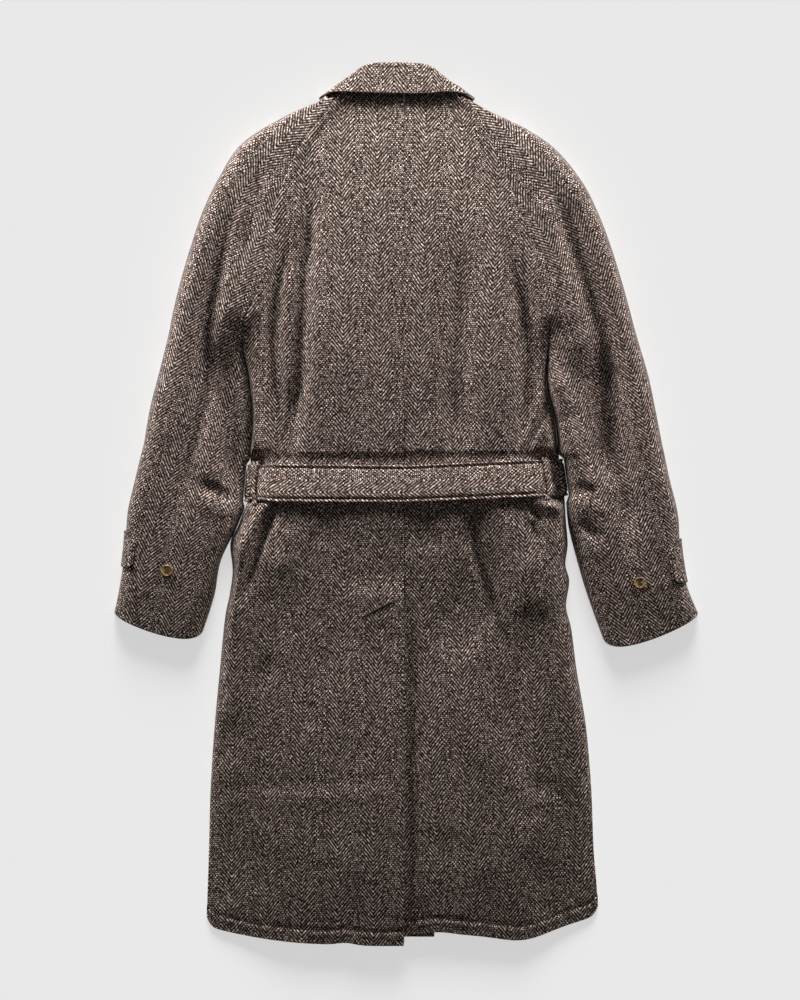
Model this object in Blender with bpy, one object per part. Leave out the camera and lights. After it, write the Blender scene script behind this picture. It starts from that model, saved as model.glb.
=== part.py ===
"""A belted raglan tweed overcoat, lying on its front and loosely filled.

Sizes are in millimetres. The collar points to +Y, the wearer's left is -X and the back
faces +Z. The floor is at Z 0.
"""

import math
from collections import namedtuple

import bmesh
import bpy
from mathutils import Vector

MM = 0.001

# Cloth, and the clearances between its layers
WALL = 3.0
SEAM = 0.3
LAYER = WALL + SEAM + 0.1
RIM_CLEAR = 0.4

# Filled edges: how far in from an edge the cloth rounds over, and how full the round is
BODY_ROUND = 30.0
SLEEVE_ROUND = 24.0
ROUND_POWER = 2.2
RIM_STEPS = (0.0, 0.035, 0.13, 0.3, 0.55, 0.8)
SIDE_SHARE = 0.86
CROWN_REACH = 130.0
SEAM_REACH = 55.0
EDGE_TURN = 7.5
RIM_WATCH = 7.0
SLEEVE_ROUND_SHARE = 0.42
SLEEVE_SEAM_SHARE = 0.6

# Centre back seam and vent
MIDDLE_X = -3.0
VENT_TOP = -126.0
VENT_SLANT = 22.0
UNDERLAP = 50.0
FLAP_RISE = 4.2
FLAP_RAMP = 18.0
FLAP_AHEAD = 45.0

# Fronts: how far each passes the middle, and their neck
FRONT_LAP = 40.0
FRONT_LAP_RISE = 6.0
FRONT_LAP_REACH = 42.0
FRONT_LAP_RAMP = 30.0
FRONT_HEM_SHORT = 8.0
FRONT_NECK_DROP = 54.0
FRONT_NECK_ROWS = 10
FRONT_LEVEL = 1.2
FRONT_ROW_GAP = 4.0

# Belt, loops and tabs
BELT_CLEAR = 0.7
BELT_LAP = (-20.0, 70.0)
BELT_BAND = (-3.0, 62.0)
BELT_EDGE = 4.0
BELT_STEP_UP = (26.0, 6.0)
BELT_UNDER_STEPS = 5
BELT_END_STEPS = 2
BAND_RAMP = 9.0
LAP_RAMP = 30.0
LAP_AHEAD = 2.5
TURN_OUT = 0.75
TURN_DOWN = 0.25
LOOP_COLUMNS = (3, 4)
LOOP_WALL = 2.5
LOOP_STEP = 0.6
LOOP_ABOVE = (0.55, 0.2, 0.03)
LOOP_BELOW = (0.03, 0.3, 0.7)
TAB_WALL = 2.5
TAB_CLEAR = 1.2
TAB_UNDER = 45.0
TAB_RAMP = 25.0
TAB_ROWS = 6
TAB_RIM = 2.0
TAB_CORNER = 0.45
TAB_UPPER_CORNER = 0.3
TAB_LOWER_CORNER = 0.12

# Horn buttons
BUTTON_RADIUS = 7.5
BUTTON_HEIGHT = 3.0
BUTTON_SIDES = 16
HOLE_RADIUS = 0.9
HOLE_RING = 1.9
HOLE_SIDES = 6
HOLES = 4

# The button's turned outline, in shares of its radius and height
Turn = namedtuple("Turn", "radius height")
BUTTON_TURNS = [
    Turn(0.9, 0.0), Turn(1.0, 0.3), Turn(0.97, 0.75), Turn(0.87, 1.0), Turn(0.72, 0.88), Turn(0.5, 0.7),
]

# Mesh steps
ARM_STEPS = 2
SKIRT_STEPS = 2
BODY_COLUMNS = 7
SLEEVE_COLUMNS = 3
FRONT_COLUMNS = 6
COLLAR_STEPS = 2
SLEEVE_FRONT_COLUMNS = 4
WAIST_STEPS = 3

# The raglan seam from neck to armpit, then the crease between arm and body, and the
# outer edge of the sleeve beside it. drop tells how far the seam sinks to the floor.
Arm = namedtuple("Arm", "seam_x seam_y seam_z drop edge_x edge_y crown")
LEFT_ARM = [
    Arm(-84, 538, 26, 0.0, -104, 528, 22),
    Arm(-102, 516, 27, 0.0, -144, 514, 25),
    Arm(-124, 487, 29, 0.0, -189, 491, 29),
    Arm(-144, 457, 30, 0.0, -222, 465, 33),
    Arm(-161, 418, 31, 0.0, -248, 423, 36),
    Arm(-174, 379, 32, 0.0, -267, 383, 38),
    Arm(-184, 331, 32, 0.0, -282, 339, 39),
    Arm(-193, 279, 31, 0.1, -297, 288, 39),
    Arm(-210, 242, 29, 0.6, -306, 250, 38),
    Arm(-214, 207, 28, 1.0, -312, 220, 38),
    Arm(-205, 159, 28, 1.0, -324, 172, 38),
    Arm(-201, 109, 28, 1.0, -336, 125, 37),
    Arm(-205, 62, 28, 1.0, -344, 78, 36),
]
RIGHT_ARM = [
    Arm(62, 538, 26, 0.0, 78, 530, 22),
    Arm(88, 514, 27, 0.0, 109, 513, 25),
    Arm(105, 487, 29, 0.0, 159, 490, 29),
    Arm(117, 457, 30, 0.0, 198, 462, 33),
    Arm(134, 418, 31, 0.0, 231, 421, 36),
    Arm(150, 379, 32, 0.0, 252, 380, 38),
    Arm(165, 331, 32, 0.0, 269, 335, 39),
    Arm(178, 279, 31, 0.1, 285, 283, 39),
    Arm(186, 245, 29, 0.6, 294, 250, 38),
    Arm(186, 207, 28, 1.0, 302, 220, 38),
    Arm(184, 155, 28, 1.0, 317, 169, 38),
    Arm(195, 110, 28, 1.0, 327, 122, 37),
    Arm(199, 65, 28, 1.0, 336, 75, 36),
]

# The forearm below the waist; bow is how far the cuff's middle passes its corners, on a
# curve that is fuller near the inner corner
CUFF_LEAN = 0.6
CUFF_SQUARE = 2
CUFF_FULL = 0.7
Cuff = namedtuple("Cuff", "inner_x inner_y edge_x edge_y crown bow")
LEFT_CUFF = [
    Cuff(-205, 62, -344, 78, 36, 0),
    Cuff(-216.5, 20, -355, 33, 35, 0),
    Cuff(-226, -27, -365, -11, 33, 0),
    Cuff(-243, -74, -368, -55, 31, 2),
    Cuff(-252, -121, -374, -100, 28, 8),
    Cuff(-266, -164, -383, -143, 24, 18),
]
RIGHT_CUFF = [
    Cuff(199, 65, 336, 75, 36, 0),
    Cuff(206.5, 20, 345, 32, 35, 0),
    Cuff(215, -27, 356, -14, 33, 0),
    Cuff(226, -74, 359, -58, 31, 2),
    Cuff(238, -121, 367, -105, 28, 6),
    Cuff(258, -176, 383, -144, 24, 18),
]

# Body from the waist to the hem: the side edge, and the row's height at the middle.
# hem tells how far a row follows the hem's rounded line.
Side = namedtuple("Side", "side_x side_y middle_y hem")
LEFT_WAIST = [Side(-203, 51, 49, 0), Side(-215, 2, 1, 0)]
LEFT_SKIRT = [
    Side(-215, 2, 1, 0),
    Side(-218, -10, -11, 0),
    Side(-224, -29, -29, 0),
    Side(-228, -54, -54, 0),
    Side(-228, -88, -90, 0),
    Side(-232, -120, -126, 0),
    Side(-238, -150, -158, 0),
    Side(-245, -220, -225, 0),
    Side(-252, -296, -300, 0),
    Side(-257, -374, -380, 0.1),
    Side(-259, -450, -458, 0.3),
    Side(-261, -510, -530, 0.8),
    Side(-262, -543, -577, 1),
]
RIGHT_WAIST = [Side(195, 58, 49, 0), Side(203, 10, 1, 0)]
RIGHT_SKIRT = [
    Side(203, 10, 1, 0),
    Side(207, -6, -11, 0),
    Side(210, -27, -29, 0),
    Side(212, -54, -54, 0),
    Side(209, -80, -85, 0),
    Side(214, -102, -106, 0),
    Side(210, -135, -126, 0),
    Side(217, -166, -158, 0),
    Side(224, -220, -225, 0),
    Side(236, -292, -300, 0),
    Side(243, -374, -380, 0.1),
    Side(246, -450, -458, 0.3),
    Side(250, -500, -522, 0.8),
    Side(252, -528, -566, 1),
]

# The hem's line from side (0) to middle (1): shares of its drop, and its waves
Wave = namedtuple("Wave", "at size width")
HEM_CORNER_SHARE = 0.36
HEM_CORNER_POWER = 60
HEM_SIDE_POWER = 3
LEFT_HEM_WAVES = [Wave(0.71, -0.09, 0.06)]
RIGHT_HEM_WAVES = [Wave(0.32, 0.31, 0.15), Wave(0.7, -0.15, 0.11)]

# Height of the filled back along the coat
Height = namedtuple("Height", "y z")
BACK_HEIGHT = [
    Height(580, 26), Height(538, 27), Height(480, 31), Height(400, 36), Height(300, 40),
    Height(200, 40), Height(110, 38), Height(50, 34), Height(0, 34), Height(-30, 38),
    Height(-120, 40), Height(-250, 37), Height(-400, 32), Height(-520, 24), Height(-600, 18),
]

# The main folds: a line, how wide its round is, and its height above or below the cloth
Fold = namedtuple("Fold", "x0 y0 x1 y1 x2 y2 width height")
FOLDS = [
    Fold(-189, -4, -212, -40, -220, -85, 13, 7),
    Fold(-174, 0, -190, -40, -206, -110, 14, -11),
    Fold(182, 4, 196, -4, 206, -14, 12, 6),
    Fold(162, 0, 172, -18, 176, -50, 13, -8),
    Fold(96, -6, 103, -68, 136, -196, 26, -7),
    Fold(138, -4, 143, -56, 150, -100, 18, 5),
    Fold(-172, 240, -172, 190, -170, 130, 16, -4),
    Fold(-141, 205, -141, 130, -140, 60, 18, -4),
    Fold(153, 215, 154, 150, 152, 80, 18, -5),
    Fold(-240, 350, -267, 180, -275, 100, 17, -5),
    Fold(-275, 100, -286, 40, -296, -30, 14, -5),
    Fold(-266, 26, -248, 16, -230, 8, 9, -4),
    Fold(200, 390, 238, 290, 256, 210, 18, -5),
    Fold(256, 210, 268, 90, 286, 0, 15, -5),
    Fold(221, -26, 236, -33, 252, -42, 9, -4),
    Fold(-250, -371, -130, -373, -8, -371, 16, -3),
    Fold(165, -374, 188, -379, 210, -385, 10, -4),
]
FOLD_FADE = 0.22
FOLD_END = 0.25
FOLD_START = 15.0

# The collar round the neck: where the stand is sewn, its fold, the fall's free edge, and
# the way its outside faces (90 up at the back, -90 down at the front)
Collar = namedtuple(
    "Collar", "neck_x neck_y neck_z fold_x fold_y fold_z edge_x edge_y edge_z tilt")
COLLAR = [
    Collar(-15, 473, 3.4, -15, 488, 3.4, -30, 425, 3.4, -90),
    Collar(-70, 511, 3.4, -66, 526, 3.4, -88, 478, 3.4, -90),
    Collar(-88, 529, 3.6, -86, 537, 3.6, -107, 516, 3.4, -82),
    Collar(-94, 534, 7, -91, 541, 7, -110, 529, 5.5, -20),
    Collar(-95, 534, 14, -92, 542, 15, -111, 529, 15, 5),
    Collar(-87, 540, 24, -85, 547, 24, -97, 535, 27, 50),
    Collar(-74, 539, 26.7, -73, 555, 27, -77, 536, 29.5, 80),
    Collar(-48, 539, 27, -50, 569, 27.5, -49, 535, 29.5, 90),
    Collar(-13, 539, 27, -13, 573.5, 27.5, -17, 534, 29.5, 90),
    Collar(27, 539, 27, 27, 566, 27.5, 28, 534, 29.5, 90),
    Collar(48, 539, 26.7, 46, 554, 27, 49, 536, 29.5, 80),
    Collar(63, 540, 24, 60, 546, 24, 71, 534, 27, 50),
    Collar(72, 535, 14, 69, 542, 15, 86, 529, 15, 5),
    Collar(72, 535, 7, 69, 541, 7, 86, 529, 5.5, -20),
    Collar(66, 529, 3.6, 62, 537, 3.6, 83, 515, 3.4, -82),
    Collar(44, 511, 3.4, 40, 526, 3.4, 62, 478, 3.4, -90),
    Collar(-11, 473, 3.4, -11, 488, 3.4, 4, 425, 3.4, -90),
]
LEAF_MIDDLE = -13.0
LEAF_POINT = 380.0
LEAF_SLOPE = 0.95
LEAF_RAMP = 25.0
LEAF_LIFT = 4.6
LEAF_SLEEVE_Y = 300.0
LEAF_SLEEVE_RAMP = 60.0
COLLAR_SPOTS = (0.0, 0.33, 0.67, 1.0)
COLLAR_BEND_STEPS = 5

# Cuff tabs: how far along the forearm table they lie, how far they reach in from the
# edge, and the place of the spare button
Tab = namedtuple("Tab", "top bottom reach button_row button_in")
LEFT_TAB = Tab(2.55, 3.6, 15.0, 3.42, 60.0)
RIGHT_TAB = Tab(2.72, 3.95, 18.0, 3.72, 61.0)

TWEED = (0.13, 0.105, 0.09, 1.0)
TWEED_ROUGHNESS = 0.95
HORN = (0.34, 0.23, 0.1, 1.0)
HORN_ROUGHNESS = 0.35


def clamp(value):
    """Keep a share between 0 and 1."""
    return max(0.0, min(1.0, value))


def ease(value):
    """Smooth step from 0 to 1."""
    share = clamp(value)
    return share * share * (3.0 - 2.0 * share)


def mix(first, second, share):
    """Value part of the way from first to second."""
    return first + (second - first) * share


def curve_value(before, first, second, after, share):
    """Smooth curve through first and second."""
    return 0.5 * (2.0 * first + (second - before) * share
                  + (2.0 * before - 5.0 * first + 4.0 * second - after) * share ** 2
                  + (3.0 * first - before - 3.0 * second + after) * share ** 3)


def table_row(table, place):
    """Row of a table at a place between its rows, on a smooth curve."""
    last = len(table) - 1
    index = min(int(place), last - 1)
    share = place - index
    rows = [table[max(index - 1, 0)], table[index], table[index + 1], table[min(index + 2, last)]]
    return type(table[0])(*(curve_value(*column, share) for column in zip(*rows)))


def smooth_rows(table, steps):
    """All the rows of a table with more rows between them."""
    count = (len(table) - 1) * steps
    return [table_row(table, step / steps) for step in range(count + 1)]


def height_at(table, y):
    """Height between two rows of a table that runs from high Y to low."""
    for upper, lower in zip(table, table[1:]):
        if y >= lower.y:
            return mix(upper.z, lower.z, ease((upper.y - y) / (upper.y - lower.y)))
    return table[-1].z


def rounding(distance, reach):
    """Rise of a filled edge, from 0 at the edge to 1 at its reach."""
    gap = 1.0 - clamp(distance / reach)
    return (1.0 - gap ** ROUND_POWER) ** (1.0 / ROUND_POWER)


def line_distance(point, start, end):
    """Distance from a point to a line, and how far along the line it is."""
    along = end - start
    share = clamp((point - start).dot(along) / along.length_squared)
    return (point - start - along * share).length, share


def fold_rise(x, y):
    """Height that the main folds add to the cloth."""
    point = Vector((x, y))
    rise = 0.0
    for fold in FOLDS:
        middle = Vector((fold.x1, fold.y1))
        first, first_share = line_distance(point, Vector((fold.x0, fold.y0)), middle)
        second, second_share = line_distance(point, middle, Vector((fold.x2, fold.y2)))
        distance = min(first, second)
        place = first_share / 2.0 if first < second else 0.5 + second_share / 2.0
        fade = ease(place / FOLD_FADE + FOLD_END) * ease((1.0 - place) / FOLD_FADE + FOLD_END)
        rise += fold.height * fade * math.exp(-(distance / fold.width) ** 2)
    return rise


def band_lift(y):
    """Lift of the fronts over the belt that lies under them."""
    low, high = BELT_BAND
    return LAYER * clamp((y - low) / BAND_RAMP + 1.0) * clamp((high - y) / BAND_RAMP + 1.0)


def floor_lift(x, y):
    """Lift of the front layer over the belt, its lapped ends and the collar's leaves."""
    lap_start, lap_end = BELT_LAP
    lap = ease((x - lap_start) / LAP_RAMP + LAP_AHEAD) * ease((lap_end - x) / LAP_RAMP + LAP_AHEAD)
    leaf_line = LEAF_POINT + LEAF_SLOPE * abs(x - LEAF_MIDDLE)
    leaf = LEAF_LIFT * ease((y - leaf_line) / LEAF_RAMP + 1.0)
    return band_lift(y) * (1.0 + lap) + leaf


def rim_height(x, y):
    """Lowest height of the back layer's edge, clear of the front layer."""
    lift = max(floor_lift(x, y + shift) for shift in (-RIM_WATCH, 0.0, RIM_WATCH))
    return lift + WALL + RIM_CLEAR


def hem_line(share, waves):
    """Share of the hem's drop, from the side to the middle."""
    gap = 1.0 - clamp(share)
    corner = HEM_CORNER_SHARE * gap ** HEM_CORNER_POWER
    line = 1.0 - (1.0 - HEM_CORNER_SHARE) * gap ** HEM_SIDE_POWER - corner
    return line + sum(wave.size * math.exp(-((share - wave.at) / wave.width) ** 2) for wave in waves)


def back_rows(arm, waist, skirt):
    """Side edge, middle, seam height and drop of every row of a back panel."""
    rows = [(row.seam_x, row.seam_y, row.seam_y, 0.0, row.seam_z, clamp(row.drop))
            for row in smooth_rows(arm, ARM_STEPS)]
    belt = [Side(*(mix(first, second, step / WAIST_STEPS) for first, second in zip(*waist)))
            for step in range(WAIST_STEPS + 1)]
    lower = belt + smooth_rows(skirt, SKIRT_STEPS)[1:]
    rows += [(row.side_x, row.side_y, row.middle_y, clamp(row.hem), 0.0, 1.0) for row in lower]
    return rows


def belt_top_row(arm):
    """First row of a back panel under the belt."""
    return (len(arm) - 1) * ARM_STEPS + 1


def column_distances(width, reach, inner_columns):
    """Distances of a row's points from its filled edge."""
    rim = [step * reach for step in RIM_STEPS]
    inner = [mix(reach, width, step / inner_columns) for step in range(inner_columns + 1)]
    return rim + inner


def back_height(x, y, distance, seam_z, drop, hand):
    """Height of the outside of a back panel."""
    rim = rim_height(x, y)
    edge = mix(seam_z, rim, drop)
    crown = height_at(BACK_HEIGHT, y) * mix(SIDE_SHARE, 1.0, ease(distance / CROWN_REACH))
    shape = mix(ease(distance / SEAM_REACH), rounding(distance, BODY_ROUND), drop)
    height = mix(edge, crown, shape) + fold_rise(x, y) * ease(distance / FOLD_START)
    if hand < 0:
        reach = ease((x - MIDDLE_X + UNDERLAP + FLAP_AHEAD) / FLAP_RAMP)
        height += FLAP_RISE * reach * ease((VENT_TOP + FLAP_RAMP - y) / FLAP_RAMP)
    return max(height, rim)


def back_grid(hand, arm, waist, skirt, waves):
    """Outside points of one half of the back, row by row from the side to the middle."""
    grid = []
    facing = []
    for side_x, side_y, middle_y, hem, seam_z, drop in back_rows(arm, waist, skirt):
        edge_x = side_x - hand * SEAM / 2.0
        middle_x = MIDDLE_X + hand * SEAM / 2.0
        if hand > 0:
            middle_x -= UNDERLAP * clamp((VENT_TOP - middle_y) / VENT_SLANT)
        width = abs(edge_x - middle_x)
        points = []
        for distance in column_distances(width, BODY_ROUND, BODY_COLUMNS):
            share = distance / width
            x = edge_x - hand * distance
            y = mix(side_y, middle_y, mix(share, hem_line(share, waves), hem))
            points.append(Vector((x, y, back_height(x, y, distance, seam_z, drop, hand))))
        grid.append(points)
        facing.append(Vector((hand * drop, 0.0, 1.0 - drop)))
    return grid, facing


def sleeve_rows(arm, cuff):
    """Inner and outer edge, heights and drop of every row of a sleeve."""
    rows = [(Vector((row.seam_x, row.seam_y)), Vector((row.edge_x, row.edge_y)), row.crown, 0.0,
             row.seam_z, clamp(row.drop)) for row in smooth_rows(arm, ARM_STEPS)]
    rows += [(Vector((row.inner_x, row.inner_y)), Vector((row.edge_x, row.edge_y)), row.crown,
              max(row.bow, 0.0), 0.0, 1.0) for row in smooth_rows(cuff, ARM_STEPS)[1:]]
    return rows


def tab_lift(place, distance, tab):
    """Lift of the sleeve's front half over the hidden end of its tab."""
    along = ease(2.0 * (place - tab.top) + 2.0) * ease(2.0 * (tab.bottom - place) + 2.0)
    return LAYER * along * ease((TAB_UNDER + 2.0 * TAB_RAMP - distance) / TAB_RAMP)


def cuff_place(row, arm):
    """Place of a sleeve row in the forearm table."""
    return row / ARM_STEPS - (len(arm) - 1)


def sleeve_columns(width):
    """Distances of a sleeve row's points from its inner edge."""
    reach = min(SLEEVE_ROUND, SLEEVE_ROUND_SHARE * width)
    rim = [step * reach for step in RIM_STEPS]
    inner = [mix(reach, width - reach, step / SLEEVE_COLUMNS) for step in range(SLEEVE_COLUMNS + 1)]
    return rim + inner + [width - step for step in reversed(rim)]


def sleeve_height(x, y, width, distance, rims, row):
    """Height of the outside of a sleeve's back half."""
    inner, outer, crown, bow, seam_z, drop = row
    inner_rim, outer_rim = rims
    reach = min(SLEEVE_ROUND, SLEEVE_ROUND_SHARE * width)
    edge = mix(seam_z, inner_rim, drop)
    shape = mix(ease(distance / (SLEEVE_SEAM_SHARE * width)), rounding(distance, reach), drop)
    folded = crown + fold_rise(x, y)
    from_seam = mix(edge, folded, shape)
    return mix(outer_rim, from_seam, rounding(width - distance, reach))


def sleeve_grid(hand, arm, cuff, tab):
    """Outside points of a sleeve's back half, row by row from the inner to the outer edge."""
    grid = []
    facing = []
    for number, row in enumerate(sleeve_rows(arm, cuff)):
        inner, outer, crown, bow, seam_z, drop = row
        across = (outer - inner).normalized()
        start = inner + across * (SEAM / 2.0)
        width = (outer - start).length
        down = Vector((across.y, -across.x)) * (-hand)
        if down.y > 0:
            down = -down
        lift = tab_lift(cuff_place(number, arm), 0.0, tab)
        outer_rim = max(rim_height(outer.x, outer.y), lift + WALL + RIM_CLEAR)
        rims = (rim_height(start.x, start.y), outer_rim)
        points = []
        for distance in sleeve_columns(width):
            share = distance / width
            swell = (1.0 - abs(2.0 * share ** CUFF_LEAN - 1.0) ** CUFF_SQUARE) ** CUFF_FULL
            plan = start + across * distance + down * (bow * swell)
            height = sleeve_height(plan.x, plan.y, width, distance, rims, row)
            points.append(Vector((plan.x, plan.y, max(height, min(rims)))))
        grid.append(points)
        facing.append(Vector((-hand * drop, 0.0, 1.0 - drop)))
    return grid, facing


def grid_normals(grid):
    """Upward normals at the points of a grid."""
    rows = len(grid)
    columns = len(grid[0])
    normals = []
    for r in range(rows):
        line = []
        for c in range(columns):
            along = grid[min(r + 1, rows - 1)][c] - grid[max(r - 1, 0)][c]
            across = grid[r][min(c + 1, columns - 1)] - grid[r][max(c - 1, 0)]
            normal = along.cross(across).normalized()
            line.append(normal if normal.z >= 0 else -normal)
        normals.append(line)
    return normals


def edge_side(grid, row, column, toward):
    """Level direction square to an edge, away from the panel."""
    rows = len(grid)
    along = grid[min(row + 1, rows - 1)][column] - grid[max(row - 1, 0)][column]
    side = Vector((along.y, -along.x, 0.0)).normalized()
    return side if side.dot(toward) > 0 else -side


def edge_normal(side, facing):
    """Way that an edge faces: up along a seam, sideways along a filled edge."""
    sideways = abs(facing.x)
    return (side * sideways + Vector((0.0, 0.0, 1.0)) * (1.0 - sideways)).normalized()


def panel_normals(grid, first_facing, last_facing):
    """Normals of a panel, turned along its first and last columns to suit its edges."""
    normals = grid_normals(grid)
    for r, row in enumerate(grid):
        outward = row[0] - row[-1]
        ends = []
        if last_facing:
            side = edge_side(grid, r, len(row) - 1, -outward)
            ends.append((row[-1], side, edge_normal(side, last_facing[r])))
        side = edge_side(grid, r, 0, outward)
        ends.append((row[0], side, edge_normal(side, first_facing[r])))
        for c, point in enumerate(row):
            for end, side, facing in ends:
                share = ease((end - point).dot(side) / EDGE_TURN)
                normals[r][c] = facing.lerp(normals[r][c], share).normalized()
        if last_facing:
            normals[r][-1] = ends[0][2]
    return normals


def moved(grid, normals, distance):
    """Grid moved out along its normals."""
    return [[point + normal * distance for point, normal in zip(row, line)]
            for row, line in zip(grid, normals)]


def make_material(name, color, roughness):
    """Plain material of one colour."""
    material = bpy.data.materials.new(name)
    material.use_nodes = True
    shader = material.node_tree.nodes["Principled BSDF"]
    shader.inputs["Base Color"].default_value = color
    shader.inputs["Roughness"].default_value = roughness
    shader.inputs["Metallic"].default_value = 0.0
    return material


def add_object(name, shape, material):
    """Object from a bmesh in millimetres."""
    bmesh.ops.recalc_face_normals(shape, faces=shape.faces)
    bmesh.ops.triangulate(shape, faces=shape.faces, quad_method="FIXED")
    bmesh.ops.scale(shape, vec=(MM, MM, MM), verts=shape.verts)
    mesh = bpy.data.meshes.new(name)
    shape.to_mesh(mesh)
    shape.free()
    mesh.materials.append(material)
    made = bpy.data.objects.new(name, mesh)
    bpy.context.collection.objects.link(made)
    made.parent = bpy.data.objects["coat"]
    return made


def wall_between(name, outer, inner, material):
    """Closed wall between two grids of the same size."""
    shape = bmesh.new()
    rows = len(outer)
    columns = len(outer[0])
    top = [[shape.verts.new(point) for point in row] for row in outer]
    under = [[shape.verts.new(point) for point in row] for row in inner]
    for r in range(rows - 1):
        for c in range(columns - 1):
            shape.faces.new((top[r][c], top[r][c + 1], top[r + 1][c + 1], top[r + 1][c]))
            shape.faces.new((under[r][c], under[r + 1][c], under[r + 1][c + 1], under[r][c + 1]))
    for r in range(rows - 1):
        for c in (0, columns - 1):
            shape.faces.new((top[r][c], top[r + 1][c], under[r + 1][c], under[r][c]))
    for c in range(columns - 1):
        for r in (0, rows - 1):
            shape.faces.new((top[r][c], under[r][c], under[r][c + 1], top[r][c + 1]))
    return add_object(name, shape, material)


def make_back(name, hand, arm, waist, skirt, waves, material):
    """One half of the back, a crowned wall that rounds down at its side."""
    grid, facing = back_grid(hand, arm, waist, skirt, waves)
    normals = panel_normals(grid, facing, None)
    for line in normals:
        line[-1] = Vector((0.0, line[-1].y, line[-1].z)).normalized()
    wall_between(name, grid, moved(grid, normals, -WALL), material)
    return grid, normals


def make_sleeve_back(name, hand, arm, cuff, tab, material):
    """Back half of a sleeve."""
    grid, facing = sleeve_grid(hand, arm, cuff, tab)
    outer_facing = [Vector((hand, 0.0, 0.0)) for row in grid]
    normals = panel_normals(grid, facing, outer_facing)
    wall_between(name, grid, moved(grid, normals, -WALL), material)
    return grid, normals


def plate(name, rows, material):
    """Flat panel of the front layer, from rows of points on its underside."""
    top = [[point + Vector((0.0, 0.0, WALL)) for point in row] for row in rows]
    wall_between(name, top, rows, material)


def front_rows(arm, waist, skirt):
    """Side edge and middle height of every row of a front panel."""
    rows = []
    low, high = BELT_BAND
    for number, row in enumerate(smooth_rows(arm, ARM_STEPS)[ARM_STEPS:]):
        drop = FRONT_NECK_DROP * ease(1.0 - number / FRONT_NECK_ROWS)
        if row.seam_y > high + BAND_RAMP + FRONT_ROW_GAP:
            rows.append((row.seam_x, row.seam_y, row.seam_y - drop))
    for y in (high + BAND_RAMP, high, mix(low, high, 0.5), low, low - BAND_RAMP):
        rows.append((waist[0].side_x, y, y))
    rows += [(row.side_x, row.side_y, row.middle_y + FRONT_HEM_SHORT * row.hem)
             for row in skirt if row.side_y < low - BAND_RAMP - FRONT_ROW_GAP]
    return rows


def make_front(name, hand, arm, waist, skirt, over, material):
    """One front, flat on the floor but for what lies under it."""
    rows = []
    for side_x, side_y, middle_y in front_rows(arm, waist, skirt):
        edge_x = side_x - hand * SEAM
        middle_x = MIDDLE_X - hand * FRONT_LAP
        line = []
        for step in range(FRONT_COLUMNS + 1):
            share = step / FRONT_COLUMNS
            x = mix(edge_x, middle_x, share)
            y = mix(side_y, middle_y, ease(FRONT_LEVEL * share))
            lift = floor_lift(x, y)
            if over:
                past = MIDDLE_X + FRONT_LAP + FRONT_LAP_REACH - x
                lift += FRONT_LAP_RISE * ease(past / FRONT_LAP_RAMP)
            line.append(Vector((x, y, lift)))
        rows.append(line)
    plate(name, rows, material)


def make_sleeve_front(name, arm, cuff, tab, material):
    """Front half of a sleeve, flat on the floor but for its tab."""
    rows = []
    for number, row in enumerate(sleeve_rows(arm, cuff)[1:], start=1):
        inner, outer = row[:2]
        across = (outer - inner).normalized()
        start = inner + across * SEAM
        width = (outer - start).length - SEAM
        line = []
        for step in range(SLEEVE_FRONT_COLUMNS + 1):
            share = step / SLEEVE_FRONT_COLUMNS
            plan = start + across * (width * share)
            lift = tab_lift(cuff_place(number, arm), width * (1.0 - share), tab)
            near_neck = ease((plan.y - LEAF_SLEEVE_Y) / LEAF_SLEEVE_RAMP)
            line.append(Vector((plan.x, plan.y, lift + floor_lift(plan.x, plan.y) * near_neck)))
        rows.append(line)
    plate(name, rows, material)


def collar_section(station, ahead):
    """Ring of points round the collar's cut end: fall, fold, stand and back."""
    neck = Vector((station.neck_x, station.neck_y, station.neck_z))
    fold = Vector((station.fold_x, station.fold_y, station.fold_z))
    edge = Vector((station.edge_x, station.edge_y, station.edge_z))
    rise = (fold - edge).normalized()
    flat = Vector((rise.x, rise.y, 0.0)).normalized()
    side = Vector((-flat.y, flat.x, 0.0)) * ahead
    tilt = math.radians(station.tilt)
    out = side * math.cos(tilt) + Vector((0.0, 0.0, math.sin(tilt)))
    out = (out - rise * out.dot(rise)).normalized()
    far = WALL + SEAM
    fall = [edge.lerp(fold, share) + out * far for share in COLLAR_SPOTS]
    bend = []
    for step in range(1, COLLAR_BEND_STEPS):
        angle = math.pi * step / COLLAR_BEND_STEPS
        bend.append(fold + out * (far * math.cos(angle)) + rise * (far * math.sin(angle)))
    stand = [fold.lerp(neck, share) - out * far for share in COLLAR_SPOTS]
    stand_lining = [neck.lerp(fold, share) - out * SEAM for share in COLLAR_SPOTS]
    fall_lining = [fold.lerp(edge, share) + out * SEAM for share in COLLAR_SPOTS]
    ring = fall + bend + stand + stand_lining + fall_lining
    return [Vector((point.x, point.y, max(point.z, 0.0))) for point in ring]


def make_collar(material):
    """Collar: fall and stand of one piece, folded over all round the neck."""
    shape = bmesh.new()
    stations = smooth_rows(COLLAR, COLLAR_STEPS)
    half = len(stations) // 2
    rings = []
    for number, station in enumerate(stations):
        ahead = 1.0 if number <= half else -1.0
        rings.append([shape.verts.new(point) for point in collar_section(station, ahead)])
    count = len(rings[0])
    for ring, following in zip(rings, rings[1:]):
        for k in range(count):
            shape.faces.new((ring[k], ring[(k + 1) % count], following[(k + 1) % count], following[k]))
    spots = len(COLLAR_SPOTS)
    stand_start = spots + COLLAR_BEND_STEPS - 1
    stand_end = stand_start + 2 * spots
    for ring in (rings[0], rings[-1]):
        fall = ring[:spots] + ring[stand_end:]
        bend = ring[spots - 1:stand_start + 1] + ring[stand_end - 1:stand_end + 1]
        stand = ring[stand_start:stand_end]
        for outline in (fall, bend, stand):
            shape.faces.new(outline)
    add_object("collar", shape, material)


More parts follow.
